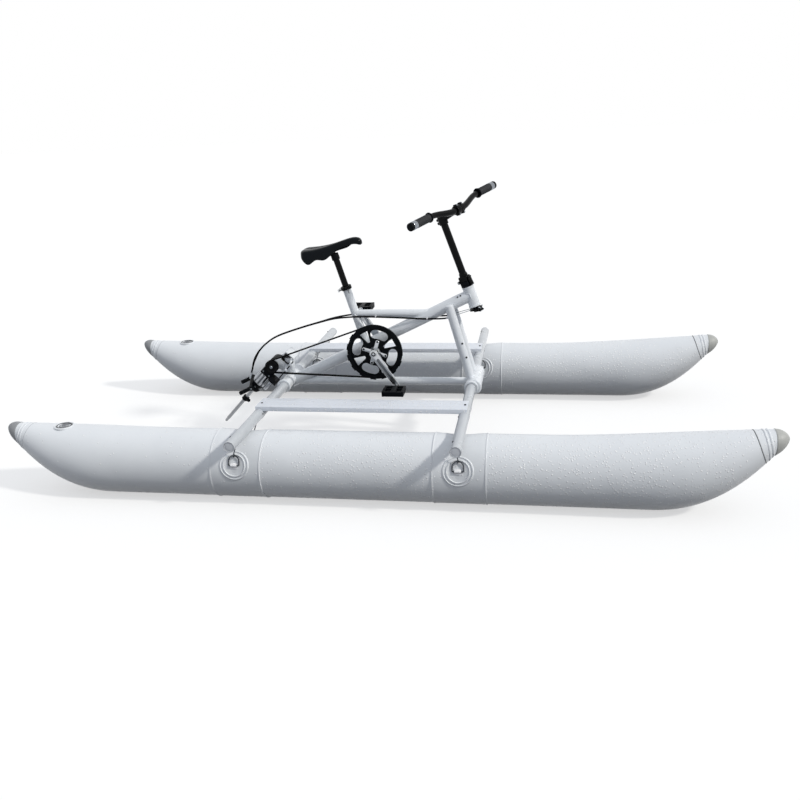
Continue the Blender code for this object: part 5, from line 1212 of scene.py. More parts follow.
def kidney(turn):
    """Curved window: two arcs about the axis, joined by round ends."""
    middle, half = (KIDNEY_INNER + KIDNEY_OUTER) / 2, (KIDNEY_OUTER - KIDNEY_INNER) / 2
    last, first = turn + KIDNEY_HALF_SPAN, turn - KIDNEY_HALF_SPAN
    last_end, first_end = (middle * np.array([cos(angle), sin(angle)]) for angle in (last, first))
    return np.concatenate([
        arc(KIDNEY_OUTER, first, last, 10),
        arc(half, last, last + pi, 12, last_end)[1:-1],
        arc(KIDNEY_INNER, last, first, 8),
        arc(half, first + pi, first + 2 * pi, 12, first_end)[1:-1],
    ])


def straight_window(turn):
    """Window with two straight sides that spread outwards."""
    corners = [(0.047, 0.006), (0.098, 0.0205), (0.098, -0.0205), (0.047, -0.006)]
    return turned_outline(soften(corners, 0.0045, 4, closed=True), turn)


wheel_centre = CRANK_AXIS + LEFT * BELT_Y
windows = [kidney(SPIDER_ANGLE + i * pi / 2) for i in range(4)]
windows += [straight_window(SPIDER_ANGLE + pi / 4 + i * pi / 2) for i in range(4)]
web_lines = [circle(0.108, 96), circle(0.024, 48)[::-1], *(window[::-1] for window in windows)]
web = pierced(web_lines, 0.004, wheel_centre, CRANK_ROWS, 0.0006)
rim_profile = [
    (0.121, 0.0075), (0.121, 0.0063), (0.1145, 0.0063), (0.1145, -0.0063), (0.121, -0.0063), (0.121, -0.0075),
    (0.106, -0.0075), (0.106, 0.0075),
]
rim = turned_ring(rim_profile, 0.0004, wheel_centre, -LEFT, 128, 2)
step_profile = [(0.1065, 0.007), (0.115, 0.007), (0.115, 0.0086), (0.1065, 0.0084)]
step = turned_ring(step_profile, 0.0005, wheel_centre, -LEFT, 128)
LUG_COUNT = 15
lugs = []
for i in range(LUG_COUNT):
    angle = 2 * pi * i / LUG_COUNT
    out = np.array([cos(angle), 0, sin(angle)])
    rows = np.array([out, np.cross(-LEFT, out), -LEFT])
    lug_at = wheel_centre + out * 0.118 - LEFT * 0.0082
    lugs.append(block((0.012, 0.027, 0.0036), lug_at, rows, 0.0007, 0.002))
lips = []
for window in windows:
    lip_line = np.column_stack([window, np.full(len(window), 0.0022)]) @ CRANK_ROWS + wheel_centre
    lips.append(sweep(lip_line, circle(0.0011, 6), -LEFT, loop=True))
wheel = [web, rim, step, *lugs, *lips]
piece("belt_wheel", wheel, black_nylon, "crankset", ["crank_pulley"])

# %% [markdown]
# ### Pedals
# Black moulded cages round a grey bearing barrel: two rails fore and aft with a row of studs, end plates,
# and cross bars between.

# %% Pedals
RAIL_X, STUD_Y, RIB_Y = 0.0415, 0.034, 0.013
STUD = [(0, 0), (0.0022, 0), (0.0014, 0.0015), (0, 0.0015)]


def pedal(side):
    """Cage, bearing barrel and end pads of one pedal, its middle 172 mm out from the crank's plane."""
    sign = SIDES[side]
    angle = CRANK_ANGLE if side == "right" else CRANK_ANGLE + pi
    eye = CRANK_AXIS + CRANK_LENGTH * np.array([cos(angle), 0, sin(angle)])
    middle = eye + LEFT * sign * 0.172
    fore, across = ([way * s for s in (-1, 1)] for way in (FORE, LEFT))
    cage = [block((0.0105, 0.088, 0.022), middle + way * RAIL_X, ROW_AXES, 0.0016, 0.004) for way in fore]
    cage.append(block((0.02, 0.088, 0.02), middle, ROW_AXES, 0.0016, 0.004))
    cage += [block((0.09, 0.0115, 0.0205), middle + way * 0.0388, ROW_AXES, 0.0016, 0.005) for way in across]
    cage += [block((0.08, 0.0035, 0.014), middle + way * RIB_Y, ROW_AXES, 0.0008) for way in across]
    for way in fore:
        for y in np.linspace(-STUD_Y, STUD_Y, 6):
            for face in (-1, 1):
                place = middle + way * RAIL_X + LEFT * y + UP * face * 0.0104
                cage.append(turned(STUD, 0.0004, place, UP * face, 12))
    barrel = bar(middle - LEFT * sign * 0.0452, middle + LEFT * sign * 0.03, 0.0088, 0.0015, 32)
    pads = [block((0.0022, 0.04, 0.011), middle + way * 0.0461, ROW_AXES, 0.0008) for way in fore]
    body = f"{side}_pedal"
    piece(f"pedal_cage_{side}", cage, black_nylon, body, [f"pedal_{side}"])
    piece(f"pedal_barrel_{side}", [barrel], tube_plug, body)
    piece(f"pedal_pads_{side}", pads, black_rubber, body)


for side in SIDES:
    pedal(side)

# %% [markdown]
# ## Belt
# A toothed rubber belt runs from the wheel to the small pulley at the stern. Its line is two arcs joined by
# the straight lines that touch both circles, and its teeth are one block copied along the line.

# %% Belt and small pulley
WHEEL_SEAT, PULLEY_SEAT, BELT_LIFT = 0.1145, 0.0245, 0.0022


def belt_line(lift=BELT_LIFT, points=520):
    """The belt's centre line, resampled to even steps."""
    gap = (HUB - CRANK_AXIS)[[0, 2]]
    big, small = WHEEL_SEAT + lift, PULLEY_SEAT + lift
    heading, spread = atan2(gap[1], gap[0]), acos((big - small) / np.linalg.norm(gap))
    line = np.concatenate([
        arc(big, heading + spread, heading + 2 * pi - spread, 120),
        arc(small, heading - spread, heading + spread, 40, gap),
    ])
    closed = np.concatenate([line, line[:1]])
    run = np.concatenate([[0], np.cumsum(np.linalg.norm(np.diff(closed, axis=0), axis=1))])
    even = np.linspace(0, run[-1], points, endpoint=False)
    return np.column_stack([np.interp(even, run, closed[:, i]) for i in range(2)])


line = belt_line()
belt_path = wheel_centre + line[:, :1] * FORE + line[:, 1:] * UP
belt_section = [(-0.006, -0.0022), (0.006, -0.0022), (0.006, 0.003), (-0.006, 0.003)]
belt_section = soften(belt_section, 0.0005, closed=True)
across_belt = unit(np.cross(LEFT, np.roll(belt_path, -1, 0) - np.roll(belt_path, 1, 0)))
belt_skins = [sweep(belt_path, belt_section, across_belt, loop=True)]
tooth_at = belt_line(BELT_LIFT - 0.0016, 260)
tooth_points = wheel_centre + tooth_at[:, :1] * FORE + tooth_at[:, 1:] * UP
tooth_along = unit(np.roll(tooth_points, -1, 0) - np.roll(tooth_points, 1, 0))
tooth = np.array([(x, y, z) for x in (-0.0014, 0.0014) for y in (-0.0056, 0.0056) for z in (-0.0009, 0.0009)])
tooth_faces = np.array([(0, 1, 3, 2), (4, 6, 7, 5), (0, 4, 5, 1), (2, 3, 7, 6), (0, 2, 6, 4), (1, 5, 7, 3)])
tooth_rows = np.stack([tooth_along, np.broadcast_to(LEFT, tooth_along.shape), np.cross(tooth_along, LEFT)], 1)
all_teeth = tooth_points[:, None] + tooth[None] @ tooth_rows
tooth_index = (tooth_faces[None] + 8 * np.arange(len(tooth_points))[:, None, None]).reshape(-1, 4)
belt_skins.append(weld(all_teeth.reshape(-1, 3), list(tooth_index)))
piece("toothed_belt", belt_skins, black_rubber, "frame", ["drive_belt"])

pulley_at = HUB + LEFT * BELT_Y
pulley_profile = [
    (0, 0.008), (0.01, 0.008), (0.012, 0.0068), (0.022, 0.0068), (0.0235, 0.008), (0.03, 0.008),
    (0.03, 0.0063), (0.0245, 0.0063), (0.0245, -0.0063), (0.03, -0.0063), (0.03, -0.008), (0.009, -0.008),
    (0.009, -0.0275), (0.006, -0.0275), (0.006, -0.05), (0, -0.05),
]
pulley = turned(pulley_profile, 0.0006, pulley_at, -LEFT, 72, 2)
piece("stern_pulley", [pulley], black_anodised, "belt_pulley", ["drive_pulley"])
pulley_bolt = bolt_head(pulley_at - LEFT * 0.007, -LEFT, 0.0072, 0.0055)
piece("stern_pulley_bolt", [pulley_bolt], stainless, "belt_pulley")

# %% [markdown]
# ## Drive leg
# A bracket behind the rear joint carries the leg on two cheeks, with an open square tube above them,
# lined black inside as painted shade, and a stop rod beside it. The leg is a black gearbox slab with a
# round top and a catch for the rod, a fluted aluminium housing, darker between its flutes as painted
# shade, a black steering head with two arms and two prongs, and the shaft.

# %% Bracket and leg
LEG_ROWS = np.array([LEG_AXIS, LEG_ACROSS, np.cross(LEG_AXIS, LEG_ACROSS)])
TUBE_BACK, TUBE_ACROSS = -0.0633, -0.0268
TUBE_HALF_U, TUBE_HALF_W = 0.024, 0.025
tube_place = on_leg(TUBE_BACK, TUBE_ACROSS)


def square_ring(half_a, half_b, wall, length, origin, rows):
    """A short open square tube along the third axis, with rounded corners inside and out."""
    corners = [(-half_a, -half_b), (half_a, -half_b), (half_a, half_b), (-half_a, half_b)]
    outer = soften(corners, 0.005, 4, closed=True)
    inner = outer * np.array([(half_a - wall) / half_a, (half_b - wall) / half_b])
    flats = [(outer, -length / 2), (outer, length / 2), (inner, length / 2), (inner, -length / 2)]
    grid = np.stack([np.column_stack([p, np.full(len(p), z)]) for p, z in flats])
    return skin(origin + grid @ rows, loop=True)


bracket = [square_ring(TUBE_HALF_U, TUBE_HALF_W, 0.004, 0.083, tube_place, LEG_ROWS)]
cheek = np.concatenate([
    arc(0.019, -pi / 2, pi / 2, 20),
    [(-0.0408, TUBE_ACROSS + TUBE_HALF_W), (-0.0408, TUBE_ACROSS - TUBE_HALF_W), (-0.01, -0.06)],
])
cheek = soften(cheek, 0.003, 2, closed=True)
cheek_ring = [(0.0125, 0.0405), (0.018, 0.0405), (0.018, 0.0428), (0.0125, 0.0428)]
for s in (-1, 1):
    bracket.append(plate(cheek, 0.005, HUB + LEFT * s * 0.039, LEG_ROWS, 0.001))
    bracket.append(turned_ring(cheek_ring, 0.0006, HUB, LEFT * s, 48))
neck_height = tube_place[2] - CROSS_Z
neck_at = (CROSS_X["rear"], 0, (tube_place[2] + CROSS_Z) / 2)
bracket.append(block((0.03, 0.06, neck_height), neck_at, ROW_AXES, 0.0012, 0.005))
STOP_LOW, STOP_HIGH = np.array([-0.527, -0.085, 0.282]), np.array([-0.434, -0.085, 0.381])
for share in (0.62, 0.88):
    place = STOP_LOW + (STOP_HIGH - STOP_LOW) * share
    root = place + LEG_ACROSS * 0.016
    root[1] = -0.039
    bracket.append(bar(root, place - LEFT * 0.005, 0.006, 0.0015, 24))
piece("drive_bracket_skin", bracket, powder_coat, "frame", ["drive_bracket"])
# Painted shade: the open square tube is lined black inside, copying the shade there.
SHADE_LINING_GAP = 0.0042
shade_lining = square_ring(TUBE_HALF_U - SHADE_LINING_GAP, TUBE_HALF_W - SHADE_LINING_GAP, 0.003, 0.079, tube_place, LEG_ROWS)
piece("bracket_tube_lining", [shade_lining], black_rubber, "frame")

rod_line = np.concatenate([
    np.linspace(STOP_LOW, STOP_HIGH, 24),
    [STOP_HIGH + (0.003, -0.006, 0.004), STOP_HIGH + (0.003, -0.018, 0.004)],
])
rod = wire(soften(rod_line, 0.004), 0.0025, 14, np.array([0.3, 0.2, 1.0]))
piece("stop_rod_skin", [rod], black_anodised, "stop_rod", ["leg_stop_rod"])

SLAB_HALF, SLAB_END, CATCH_Y = 0.027, 0.0755, -0.03
slab = np.concatenate([
    arc(SLAB_HALF, pi / 2, 3 * pi / 2, 28, (SLAB_HALF - 0.0285, 0)),
    [(SLAB_END, -SLAB_HALF), (SLAB_END, SLAB_HALF)],
])
gearbox = [plate(soften(slab, 0.003, closed=True), 0.066, HUB, LEG_ROWS, 0.0022)]
face = soften(slab * (0.9, 0.86) + (0.0015, 0), 0.003, closed=True)
for s in (-1, 1):
    gearbox.append(plate(face, 0.0016, HUB + LEFT * s * 0.0335, LEG_ROWS, 0.0006))
gearbox.append(bar(HUB - LEFT * 0.0415, HUB + LEFT * 0.0415, 0.012, 0.001, 40))
stop_along = float((STOP_LOW - HUB) @ LEG_AXIS)
stop_across = float((STOP_LOW - HUB) @ LEG_ACROSS)
catch_start = stop_along + 0.0028
catch_rows = np.array([LEFT, np.cross(LEG_AXIS, LEFT), LEG_AXIS])
catch_at = on_leg(catch_start + 0.04, -0.041, CATCH_Y)
gearbox.append(block((0.03, 0.022, 0.08), catch_at, catch_rows, 0.0016, 0.003))
root_depth = SLAB_END - catch_start
root_at = on_leg(catch_start + root_depth / 2, -0.0368, CATCH_Y)
gearbox.append(block((0.03, 0.0304, root_depth), root_at, catch_rows, 0.0012))
tab_low, tab_high = stop_across - 0.007, -0.03
tab_at = on_leg(catch_start + 0.004, (tab_low + tab_high) / 2, -0.053)
gearbox.append(block((0.076, tab_high - tab_low, 0.008), tab_at, catch_rows, 0.0012))
piece("gearbox_case", gearbox, black_casting, "leg", ["gearbox"])
strip_at = on_leg(catch_start + 0.05, -0.0415, -0.0458)
strip = block((0.0016, 0.017, 0.054), strip_at, catch_rows, 0.0007)
piece("catch_strip", [strip], ribbed_alloy, "leg")
case_bolts = [
    bolt_head(on_leg(u, w, s * 0.034), LEFT * s, 0.0036, 0.0028)
    for u in (0.006, 0.062) for w in (-0.017, 0.017) for s in (-1, 1)
]
case_bolts.append(bolt_head(HUB + LEFT * 0.0412, LEFT, 0.0085, 0.004))
piece("gearbox_bolts", case_bolts, stainless, "leg")

housing_start = 0.0758
rib_profile = [(0, 0), (0.029, 0)]
for z in (0.006, 0.054):
    rib_profile += [(0.029, z - 0.0024), (0.0272, z - 0.0015), (0.0272, z + 0.0015), (0.029, z + 0.0024)]
rib_profile += [(0.029, 0.06), (0.0088, 0.06), (0.0088, 0.018), (0, 0.018)]
housing = turned(rib_profile, 0.0008, on_leg(housing_start), LEG_AXIS, 72, 2)
FLUTES = 10
flutes = []
for i in range(FLUTES):
    angle = 2 * pi * (i + 0.5) / FLUTES
    outward = (LEFT * cos(angle) + LEG_ACROSS * sin(angle)) * 0.0272
    start, end = (on_leg(housing_start + along) + outward for along in (0.002, 0.058))
    flutes.append(bar(start, end, 0.0052, 0.0012, 20))
piece("leg_housing_flutes", flutes, ribbed_alloy, "leg")
# Painted shade: the core between the flutes is darker to copy the shade in the grooves.
piece("leg_housing_core", [housing], groove_shade_alloy, "leg", ["leg_housing"])

head_start = housing_start + 0.0603
arm_side = LEFT * cos(SWIVEL_TURN) + LEG_ACROSS * sin(SWIVEL_TURN)
arm_across = LEG_ACROSS * cos(SWIVEL_TURN) - LEFT * sin(SWIVEL_TURN)
head_profile = [
    (0.0085, 0), (0.027, 0), (0.027, 0.01), (0.0255, 0.012), (0.0255, 0.026), (0.027, 0.028),
    (0.027, 0.036), (0.021, 0.046), (0.0085, 0.046),
]
head = [turned_ring(head_profile, 0.0022, on_leg(head_start), LEG_AXIS, 64)]
middle = on_leg(head_start + 0.022) + arm_across * 0.025
head.append(bar(middle - arm_side * 0.058, middle + arm_side * 0.058, 0.01, 0.003, 32))
yoke_rows = np.array([arm_side, LEG_AXIS, np.cross(arm_side, LEG_AXIS)])
head.append(block((0.052, 0.024, 0.026), middle - arm_across * 0.008, yoke_rows, 0.003, 0.006))
PRONG_LEAN = radians(23)
prong = LEG_AXIS * cos(PRONG_LEAN) + arm_across * sin(PRONG_LEAN)
eye_profile = [(0, -0.011), (0.0112, -0.009), (0.0112, 0.009), (0, 0.011)]
for s in (-1, 1):
    root = middle + arm_side * s * 0.05
    head.append(bar(root - prong * 0.008, root + prong * 0.06, 0.0092, 0.0025, 28))
    head.append(turned(eye_profile, 0.003, root, arm_side, 36, 4))
piece("steering_head_casting", head, black_casting, "swivel", ["swivel_head"])
head_bolts = [bolt_head(middle + arm_side * s * 0.058, arm_side * s, 0.0046, 0.003) for s in (-1, 1)]
for angle in (pi, -2.2):
    outward = LEFT * cos(angle) + LEG_ACROSS * sin(angle)
    head_bolts.append(bolt_head(on_leg(head_start + 0.018) + outward * 0.0256, outward, 0.004, 0.003))
piece("steering_head_bolts", head_bolts, stainless, "swivel")

shaft_profile = [
    (0, 0.095), (0.008, 0.095), (0.008, 0.385), (0.0066, 0.387), (0.0066, 0.398), (0.0052, 0.405), (0, 0.405),
]
shaft = turned(shaft_profile, 0.0015, HUB, LEG_AXIS, 40)
piece("shaft_skin", [shaft], shaft_steel, "shaft", ["drive_shaft"])
collar_profile = [
    (0.0078, 0.234), (0.0145, 0.234), (0.0145, 0.241), (0.0132, 0.242), (0.0132, 0.247), (0.0145, 0.248),
    (0.0145, 0.254), (0.0078, 0.254),
]
CLAW_ALONG = 0.244
collar = [turned_ring(collar_profile, 0.0008, HUB, LEG_AXIS, 48)]
claw = on_leg(CLAW_ALONG, -0.0102)
collar.append(bar(claw, claw - LEG_ACROSS * 0.016, 0.004, 0.0015, 20))
collar.append(block((0.01, 0.012, 0.014), on_leg(CLAW_ALONG, -0.0175), catch_rows, 0.0015))
piece("shaft_collar", collar, black_casting, "shaft")

# %% [markdown]
# ## Steering
# The steerer turns in the head tube, with the folding block on top. Under it hang the grooved cable disc
# and a bolted plate that clamps the cables. The black post folds back about a pin behind it, and a latch
# lever holds it up in front.

# %% Steerer, fold block and latch
BAR_ROWS = np.array([BAR_FORWARD, BAR_LEFT, HEAD_AXIS])
journal = 0.0183
steerer_profile = [
    (0, 0.0995), (0.0225, 0.0995), (0.0255, 0.096), (0.0255, 0.0926), (journal, 0.0926), (journal, -0.002),
    (0.012, -0.003), (0.012, -0.0062), (0, -0.0062),
]
steerer = [turned(steerer_profile, 0.001, HEAD_FOOT, HEAD_AXIS, 64)]
block_foot, block_top = 0.0975, 0.138


def fold_bar(start, end, radius, edge, sides):
    """Bar on the fold's axis, between two distances to the bar's left."""
    return bar(on_bar(FOLD_X, start, FOLD_UP), on_bar(FOLD_X, end, FOLD_UP), radius, edge, sides)


lower_block = on_bar(0, 0, (block_foot + FOLD_UP) / 2)
steerer.append(block((0.044, 0.038, FOLD_UP - block_foot), lower_block, BAR_ROWS, 0.0022, 0.009))
steerer.append(fold_bar(-0.0076, 0.0076, 0.0065, 0.0008, 32))
piece("steerer_block", steerer, black_casting, "steering_column", ["steerer"])

CLAMP_BOLTS = ((0.0255, -0.008), (0.0255, 0.008), (0.0, 0.0))
disc_profile = [
    (0, -0.0065), (0.0262, -0.0065), (0.0285, -0.0085), (0.0268, -0.0105), (0.0285, -0.0125),
    (0.0262, -0.0145), (0, -0.0145),
]
disc = turned(disc_profile, 0.0008, HEAD_FOOT, HEAD_AXIS, 72)
piece("cable_disc", [disc], black_nylon, "steering_column", ["steering_disc"])
clamp_plate = [block((0.042, 0.03, 0.004), on_bar(0.0125, 0, -0.0205), BAR_ROWS, 0.0012, 0.009)]
clamp_plate += [bar(on_bar(x, y, -0.019), on_bar(x, y, -0.014), 0.004, 0.0006, 24) for x, y in CLAMP_BOLTS]
piece("cable_clamp_plate", clamp_plate, black_anodised, "steering_column")
disc_bolts = [bolt_head(on_bar(-0.0145, y, -0.014), -HEAD_AXIS, 0.0036, 0.0025) for y in (-0.012, 0.012)]
disc_bolts += [bolt_head(on_bar(x, y, -0.0222), -HEAD_AXIS, 0.0046, 0.0034) for x, y in CLAMP_BOLTS]
disc_bolts += [bolt_head(on_bar(0.0275, y, -0.0062), HEAD_AXIS, 0.004, 0.003) for y in (-0.011, 0.011)]
disc_bolts.append(bolt_head(on_bar(0, 0, -0.0142), -HEAD_AXIS, 0.0075, 0.0045))
disc_bolts.append(bolt_head(on_bar(0.0268, -0.004, -0.0105), BAR_FORWARD, 0.0036, 0.0028))
piece("cable_disc_bolts", disc_bolts, stainless, "steering_column")

POST_TOP = 0.396
post_profile = [(0, 0.134), (0.015, 0.134), (0.015, POST_TOP), (0, POST_TOP)]
post = [turned(post_profile, 0.001, HEAD_FOOT, HEAD_AXIS, 64)]
upper_block = on_bar(0, 0, (FOLD_UP + block_top) / 2 + 0.0002)
post.append(block((0.044, 0.038, block_top - FOLD_UP - 0.0004), upper_block, BAR_ROWS, 0.0026, 0.009))
skirt = [
    (0, block_top - 0.002), (0.0185, block_top - 0.002), (0.018, block_top + 0.01),
    (0.0152, block_top + 0.016), (0, block_top + 0.016),
]
post.append(turned(skirt, 0.002, HEAD_FOOT, HEAD_AXIS, 56))
for s in (-1, 1):
    post.append(fold_bar(s * 0.0082, s * 0.019, 0.0065, 0.0008, 32))
post.append(fold_bar(-0.0195, 0.0195, 0.003, 0.0006, 20))
piece("handlebar_post_tube", post, black_anodised, "handlebar_post", ["handlepost"])
pin_heads = [
    bolt_head(on_bar(FOLD_X, s * 0.019, FOLD_UP), BAR_LEFT * s, 0.0042, 0.0022) for s in (-1, 1)
]
piece("fold_pin_heads", pin_heads, stainless, "handlebar_post")

latch_at, latch_tail, latch_length = 0.13, 0.002, 0.038
lever_lean = unit(-HEAD_AXIS + BAR_FORWARD * 0.12)
lever_rows = np.array([unit(BAR_FORWARD + HEAD_AXIS * 0.12), BAR_LEFT, lever_lean])
lever_middle = on_bar(0.028, 0, latch_at - latch_length / 2 + latch_tail)
lever = [block((0.005, 0.02, latch_length), lever_middle, lever_rows, 0.0016, 0.0022)]
lever.append(bar(on_bar(0.0268, -0.01, latch_at), on_bar(0.0268, 0.01, latch_at), 0.0042, 0.0008, 28))
rib_at = lever_middle + lever_rows[0] * 0.0028 + lever_lean * 0.003
lever.append(block((0.002, 0.012, 0.022), rib_at, lever_rows, 0.0007))
piece("latch_lever_forged", lever, black_anodised, "latch", ["latch_lever"])

# %% [markdown]
# ### Stem, bar and grips
# A forged stem clamps the post's top and the bar, with four bolts in front. The bar rises and sweeps back to
# ribbed grips, each between a flange and a metal lock ring. It stands turned to the rider's right.

# %% Stem, bar and grips
bar_middle = on_bar(0.099, 0, POST_TOP + 0.013)
collar_low, collar_high = POST_TOP - 0.028, POST_TOP + 0.01
stem_profile = [
    (0.0153, collar_low), (0.0195, collar_low), (0.0195, collar_high - 0.005), (0.0168, collar_high),
    (0, collar_high), (0, collar_high - 0.0035), (0.0153, collar_high - 0.0035),
]
stem = [turned_ring(stem_profile, 0.0012, HEAD_FOOT, HEAD_AXIS, 64)]
arm_start = on_bar(0.001, 0, POST_TOP - 0.005)
arm_dir = unit(bar_middle - arm_start)
arm_length = float(np.linalg.norm(bar_middle - arm_start))
arm_profile = [
    (0.0142, 0.004), (0.0132, 0.022), (0.0122, 0.055), (0.0134, arm_length - 0.012), (0.0125, arm_length),
]
stem.append(lathe(curve_through(arm_profile, 6), arm_start, arm_dir, 48))
bar_clamp = [
    (0.0129, -0.023), (0.0187, -0.023), (0.0187, -0.0022), (0.0178, -0.0012), (0.0178, 0.0012),
    (0.0187, 0.0022), (0.0187, 0.023), (0.0129, 0.023),
]
stem.append(turned_ring(bar_clamp, 0.0012, bar_middle, BAR_LEFT, 56))
stem_bolts = []
for s in (-1, 1):
    for up in (-1, 1):
        eye = bar_middle + BAR_LEFT * s * 0.015 + HEAD_AXIS * up * 0.019
        stem.append(bar(eye - BAR_FORWARD * 0.006, eye + BAR_FORWARD * 0.012, 0.0044, 0.001, 24))
        stem_bolts.append(bolt_head(eye + BAR_FORWARD * 0.0118, BAR_FORWARD, 0.0034, 0.0022))
pinch = on_bar(-0.0195, 0, collar_low + 0.01)
pinch_half = BAR_LEFT * 0.011
for up in (0.0, 0.014):
    rise = HEAD_AXIS * up
    stem.append(bar(pinch - pinch_half + rise, pinch + pinch_half + rise, 0.0058, 0.001, 28))
top_cap = [
    (0, collar_high - 0.001), (0.0105, collar_high - 0.001), (0.0095, collar_high + 0.0025),
    (0, collar_high + 0.003),
]
stem.append(turned(top_cap, 0.001, HEAD_FOOT, HEAD_AXIS, 40))
piece("forged_stem", stem, black_anodised, "handlebar_post", ["stem"])
stem_bolts.append(bolt_head(HEAD_FOOT + HEAD_AXIS * (collar_high + 0.0018), HEAD_AXIS, 0.0048, 0.0024))
piece("stem_bolts", stem_bolts, stainless, "handlebar_post")

BAR_HALF, GRIP_LENGTH, BEND_FROM = 0.29, 0.125, 0.027
share = np.linspace(0, 1, 22)
left = BEND_FROM + (BAR_HALF - GRIP_LENGTH - 0.008 - BEND_FROM) * share
ease = share * share * (3 - 2 * share)
level = [(0.2, 1.0), (0.24, 1.0), (BAR_HALF - 0.004, 1.0)]
half_line = np.concatenate([np.column_stack([left, ease]), level])
both = np.concatenate([half_line[::-1] * (-1, 1), [(0.0, 0.0)], half_line])
bar_line = bar_middle + both[:, :1] * BAR_LEFT + both[:, 1:] * (HEAD_AXIS * 0.021 - BAR_FORWARD * 0.014)
swell = 0.0127 - 0.0011 * np.clip((np.abs(both[:, 0]) - 0.05) / 0.09, 0, 1)
bar_tube = wire(bar_line, swell, 40, HEAD_AXIS)
piece("bar_tube", [bar_tube], black_anodised, "handlebar_post", ["handlebar"])

RIDGE = ((-0.0022, -0.0009), (-0.001, 0.0004), (0.001, 0.0004), (0.0022, -0.0009))
ridges = [(0.0163 + lift, z + shift) for z in np.linspace(0.012, 0.083, 13) for shift, lift in RIDGE]
GRIP = [(0.013, 0.0065), (0.0158, 0.0065), *ridges, (0.0158, 0.091), (0.013, 0.091)]
FLANGE = [(0.013, 0.0), (0.019, 0.0), (0.0205, 0.002), (0.0205, 0.0045), (0.0175, 0.0075), (0.013, 0.0075)]
END_CAP = [(0, 0.129), (0.0125, 0.129), (0.0162, 0.1255), (0.0165, 0.113), (0.013, 0.113), (0, 0.113)]
LOCK_RING = [
    (0.013, 0.091), (0.0163, 0.091), (0.0168, 0.0925), (0.0168, 0.1045), (0.0158, 0.1055),
    (0.0158, 0.1065), (0.0168, 0.1075), (0.0168, 0.1115), (0.0163, 0.113), (0.013, 0.113),
]
for side, sign in SIDES.items():
    end = bar_line[-1 if sign > 0 else 0]
    direction = BAR_LEFT * sign
    start = end + direction * (0.004 - GRIP_LENGTH)
    grip = turned_ring(GRIP, 0.0006, start, direction, 48, 2)
    piece(f"grip_sleeve_{side}", [grip], grip_rubber, "handlebar_post", [f"grip_{side}"])
    caps = [turned_ring(FLANGE, 0.0008, start, direction), turned(END_CAP, 0.0015, start, direction)]
    piece(f"grip_caps_{side}", caps, black_nylon, "handlebar_post")
    lock_ring = turned_ring(LOCK_RING, 0.0006, start, direction)
    piece(f"grip_lock_ring_{side}", [lock_ring], stainless, "handlebar_post")

# %% [markdown]
# ## Seat post, clamp and saddle
# The post is black tube in a quick-release collar with a bright lever on its near side. A clamp head on top
# holds the saddle's two rails.

# %% Seat post and clamp
post_profile = [(0, 0.413), (0.0136, 0.413), (0.0136, 0.135), (0.0114, 0.135), (0.0114, 0.393), (0, 0.393)]
seat_post = turned(post_profile, 0.0008, SEAT_FOOT, SEAT_AXIS, 56)
piece("seat_post_tube", [seat_post], black_anodised, "seat", ["seat_post"])
collar_top, collar_foot = 0.278, 0.262
clamp_profile = [
    (0.0183, collar_top), (0.02, collar_top + 0.0012), (0.0235, collar_top), (0.0235, collar_foot),
    (0.0183, collar_foot),
]
SEAT_ROWS = np.array([SEAT_AHEAD, LEFT, SEAT_AXIS])


def on_ears(forward):
    """Point of the clamp bolt's axis, by its distance forward."""
    return on_seat(SEAT_CLAMP_UP, forward, -0.0275)


clamp = [turned_ring(clamp_profile, 0.0014, SEAT_FOOT, SEAT_AXIS, 56)]
for s in (-1, 1):
    clamp.append(block((0.01, 0.015, 0.013), on_ears(s * 0.006), SEAT_ROWS, 0.0012, 0.003))
clamp.append(bar(on_ears(-0.024), on_ears(0.03), 0.003, 0.0008, 24))
nut = [(0, 0), (0.0058, 0), (0.0062, 0.002), (0.0062, 0.008), (0.005, 0.0105), (0, 0.0105)]
clamp.append(turned(nut, 0.0008, on_ears(0.0195), SEAT_AHEAD, 24))
piece("seat_collar", clamp, black_anodised, "frame", ["seat_clamp"])
lever_root = on_ears(-0.0285)
LEVER_LINE = ((-0.003, 0.0), (0.008, 0.0006), (0.022, 0.0016), (0.034, 0.0006), (0.041, -0.0014))
lever_grip = curve_through([lever_root + LEFT * y - SEAT_AHEAD * x for y, x in LEVER_LINE], 6)
flat_section = [(-0.0058, -0.0022), (0.0058, -0.0022), (0.0058, 0.0022), (-0.0058, 0.0022)]
lever = [sweep(lever_grip, soften(flat_section, 0.0016, closed=True), SEAT_AHEAD)]
lever.append(bar(lever_root - SEAT_AXIS * 0.006, lever_root + SEAT_AXIS * 0.006, 0.0042, 0.001, 28))
piece("seat_lever_cast", lever, polished_alloy, "seat_lever", ["seat_clamp_lever"])

# %% [markdown]
# ### Saddle
# A moulded shell with foam under a black vinyl cover: broad drooping wings, a waist, a rounded nose that
# rises a little, and a shallow groove. A share of 0 is the tail and 1 the nose.

# %% Saddle
TAIL_X, SADDLE_LENGTH = -0.372, 0.266


def saddle_top(share):
    """Height of the crown: it rises with the share's square, and the tenth power rounds the nose down."""
    return 0.868 + 0.069 * share**2 - 0.036 * share**10


def saddle_half_width(share):
    """The wings' and the nose's half widths, joined smoothly: (wings^6 + nose^6)^(1/6)."""
    wings = 0.071 * np.maximum(0.0, 1 - (share / 0.62) ** 2) ** 0.8
    nose = 0.019 + 0.01 * (1 - share)
    return (wings**6 + nose**6) ** (1 / 6)


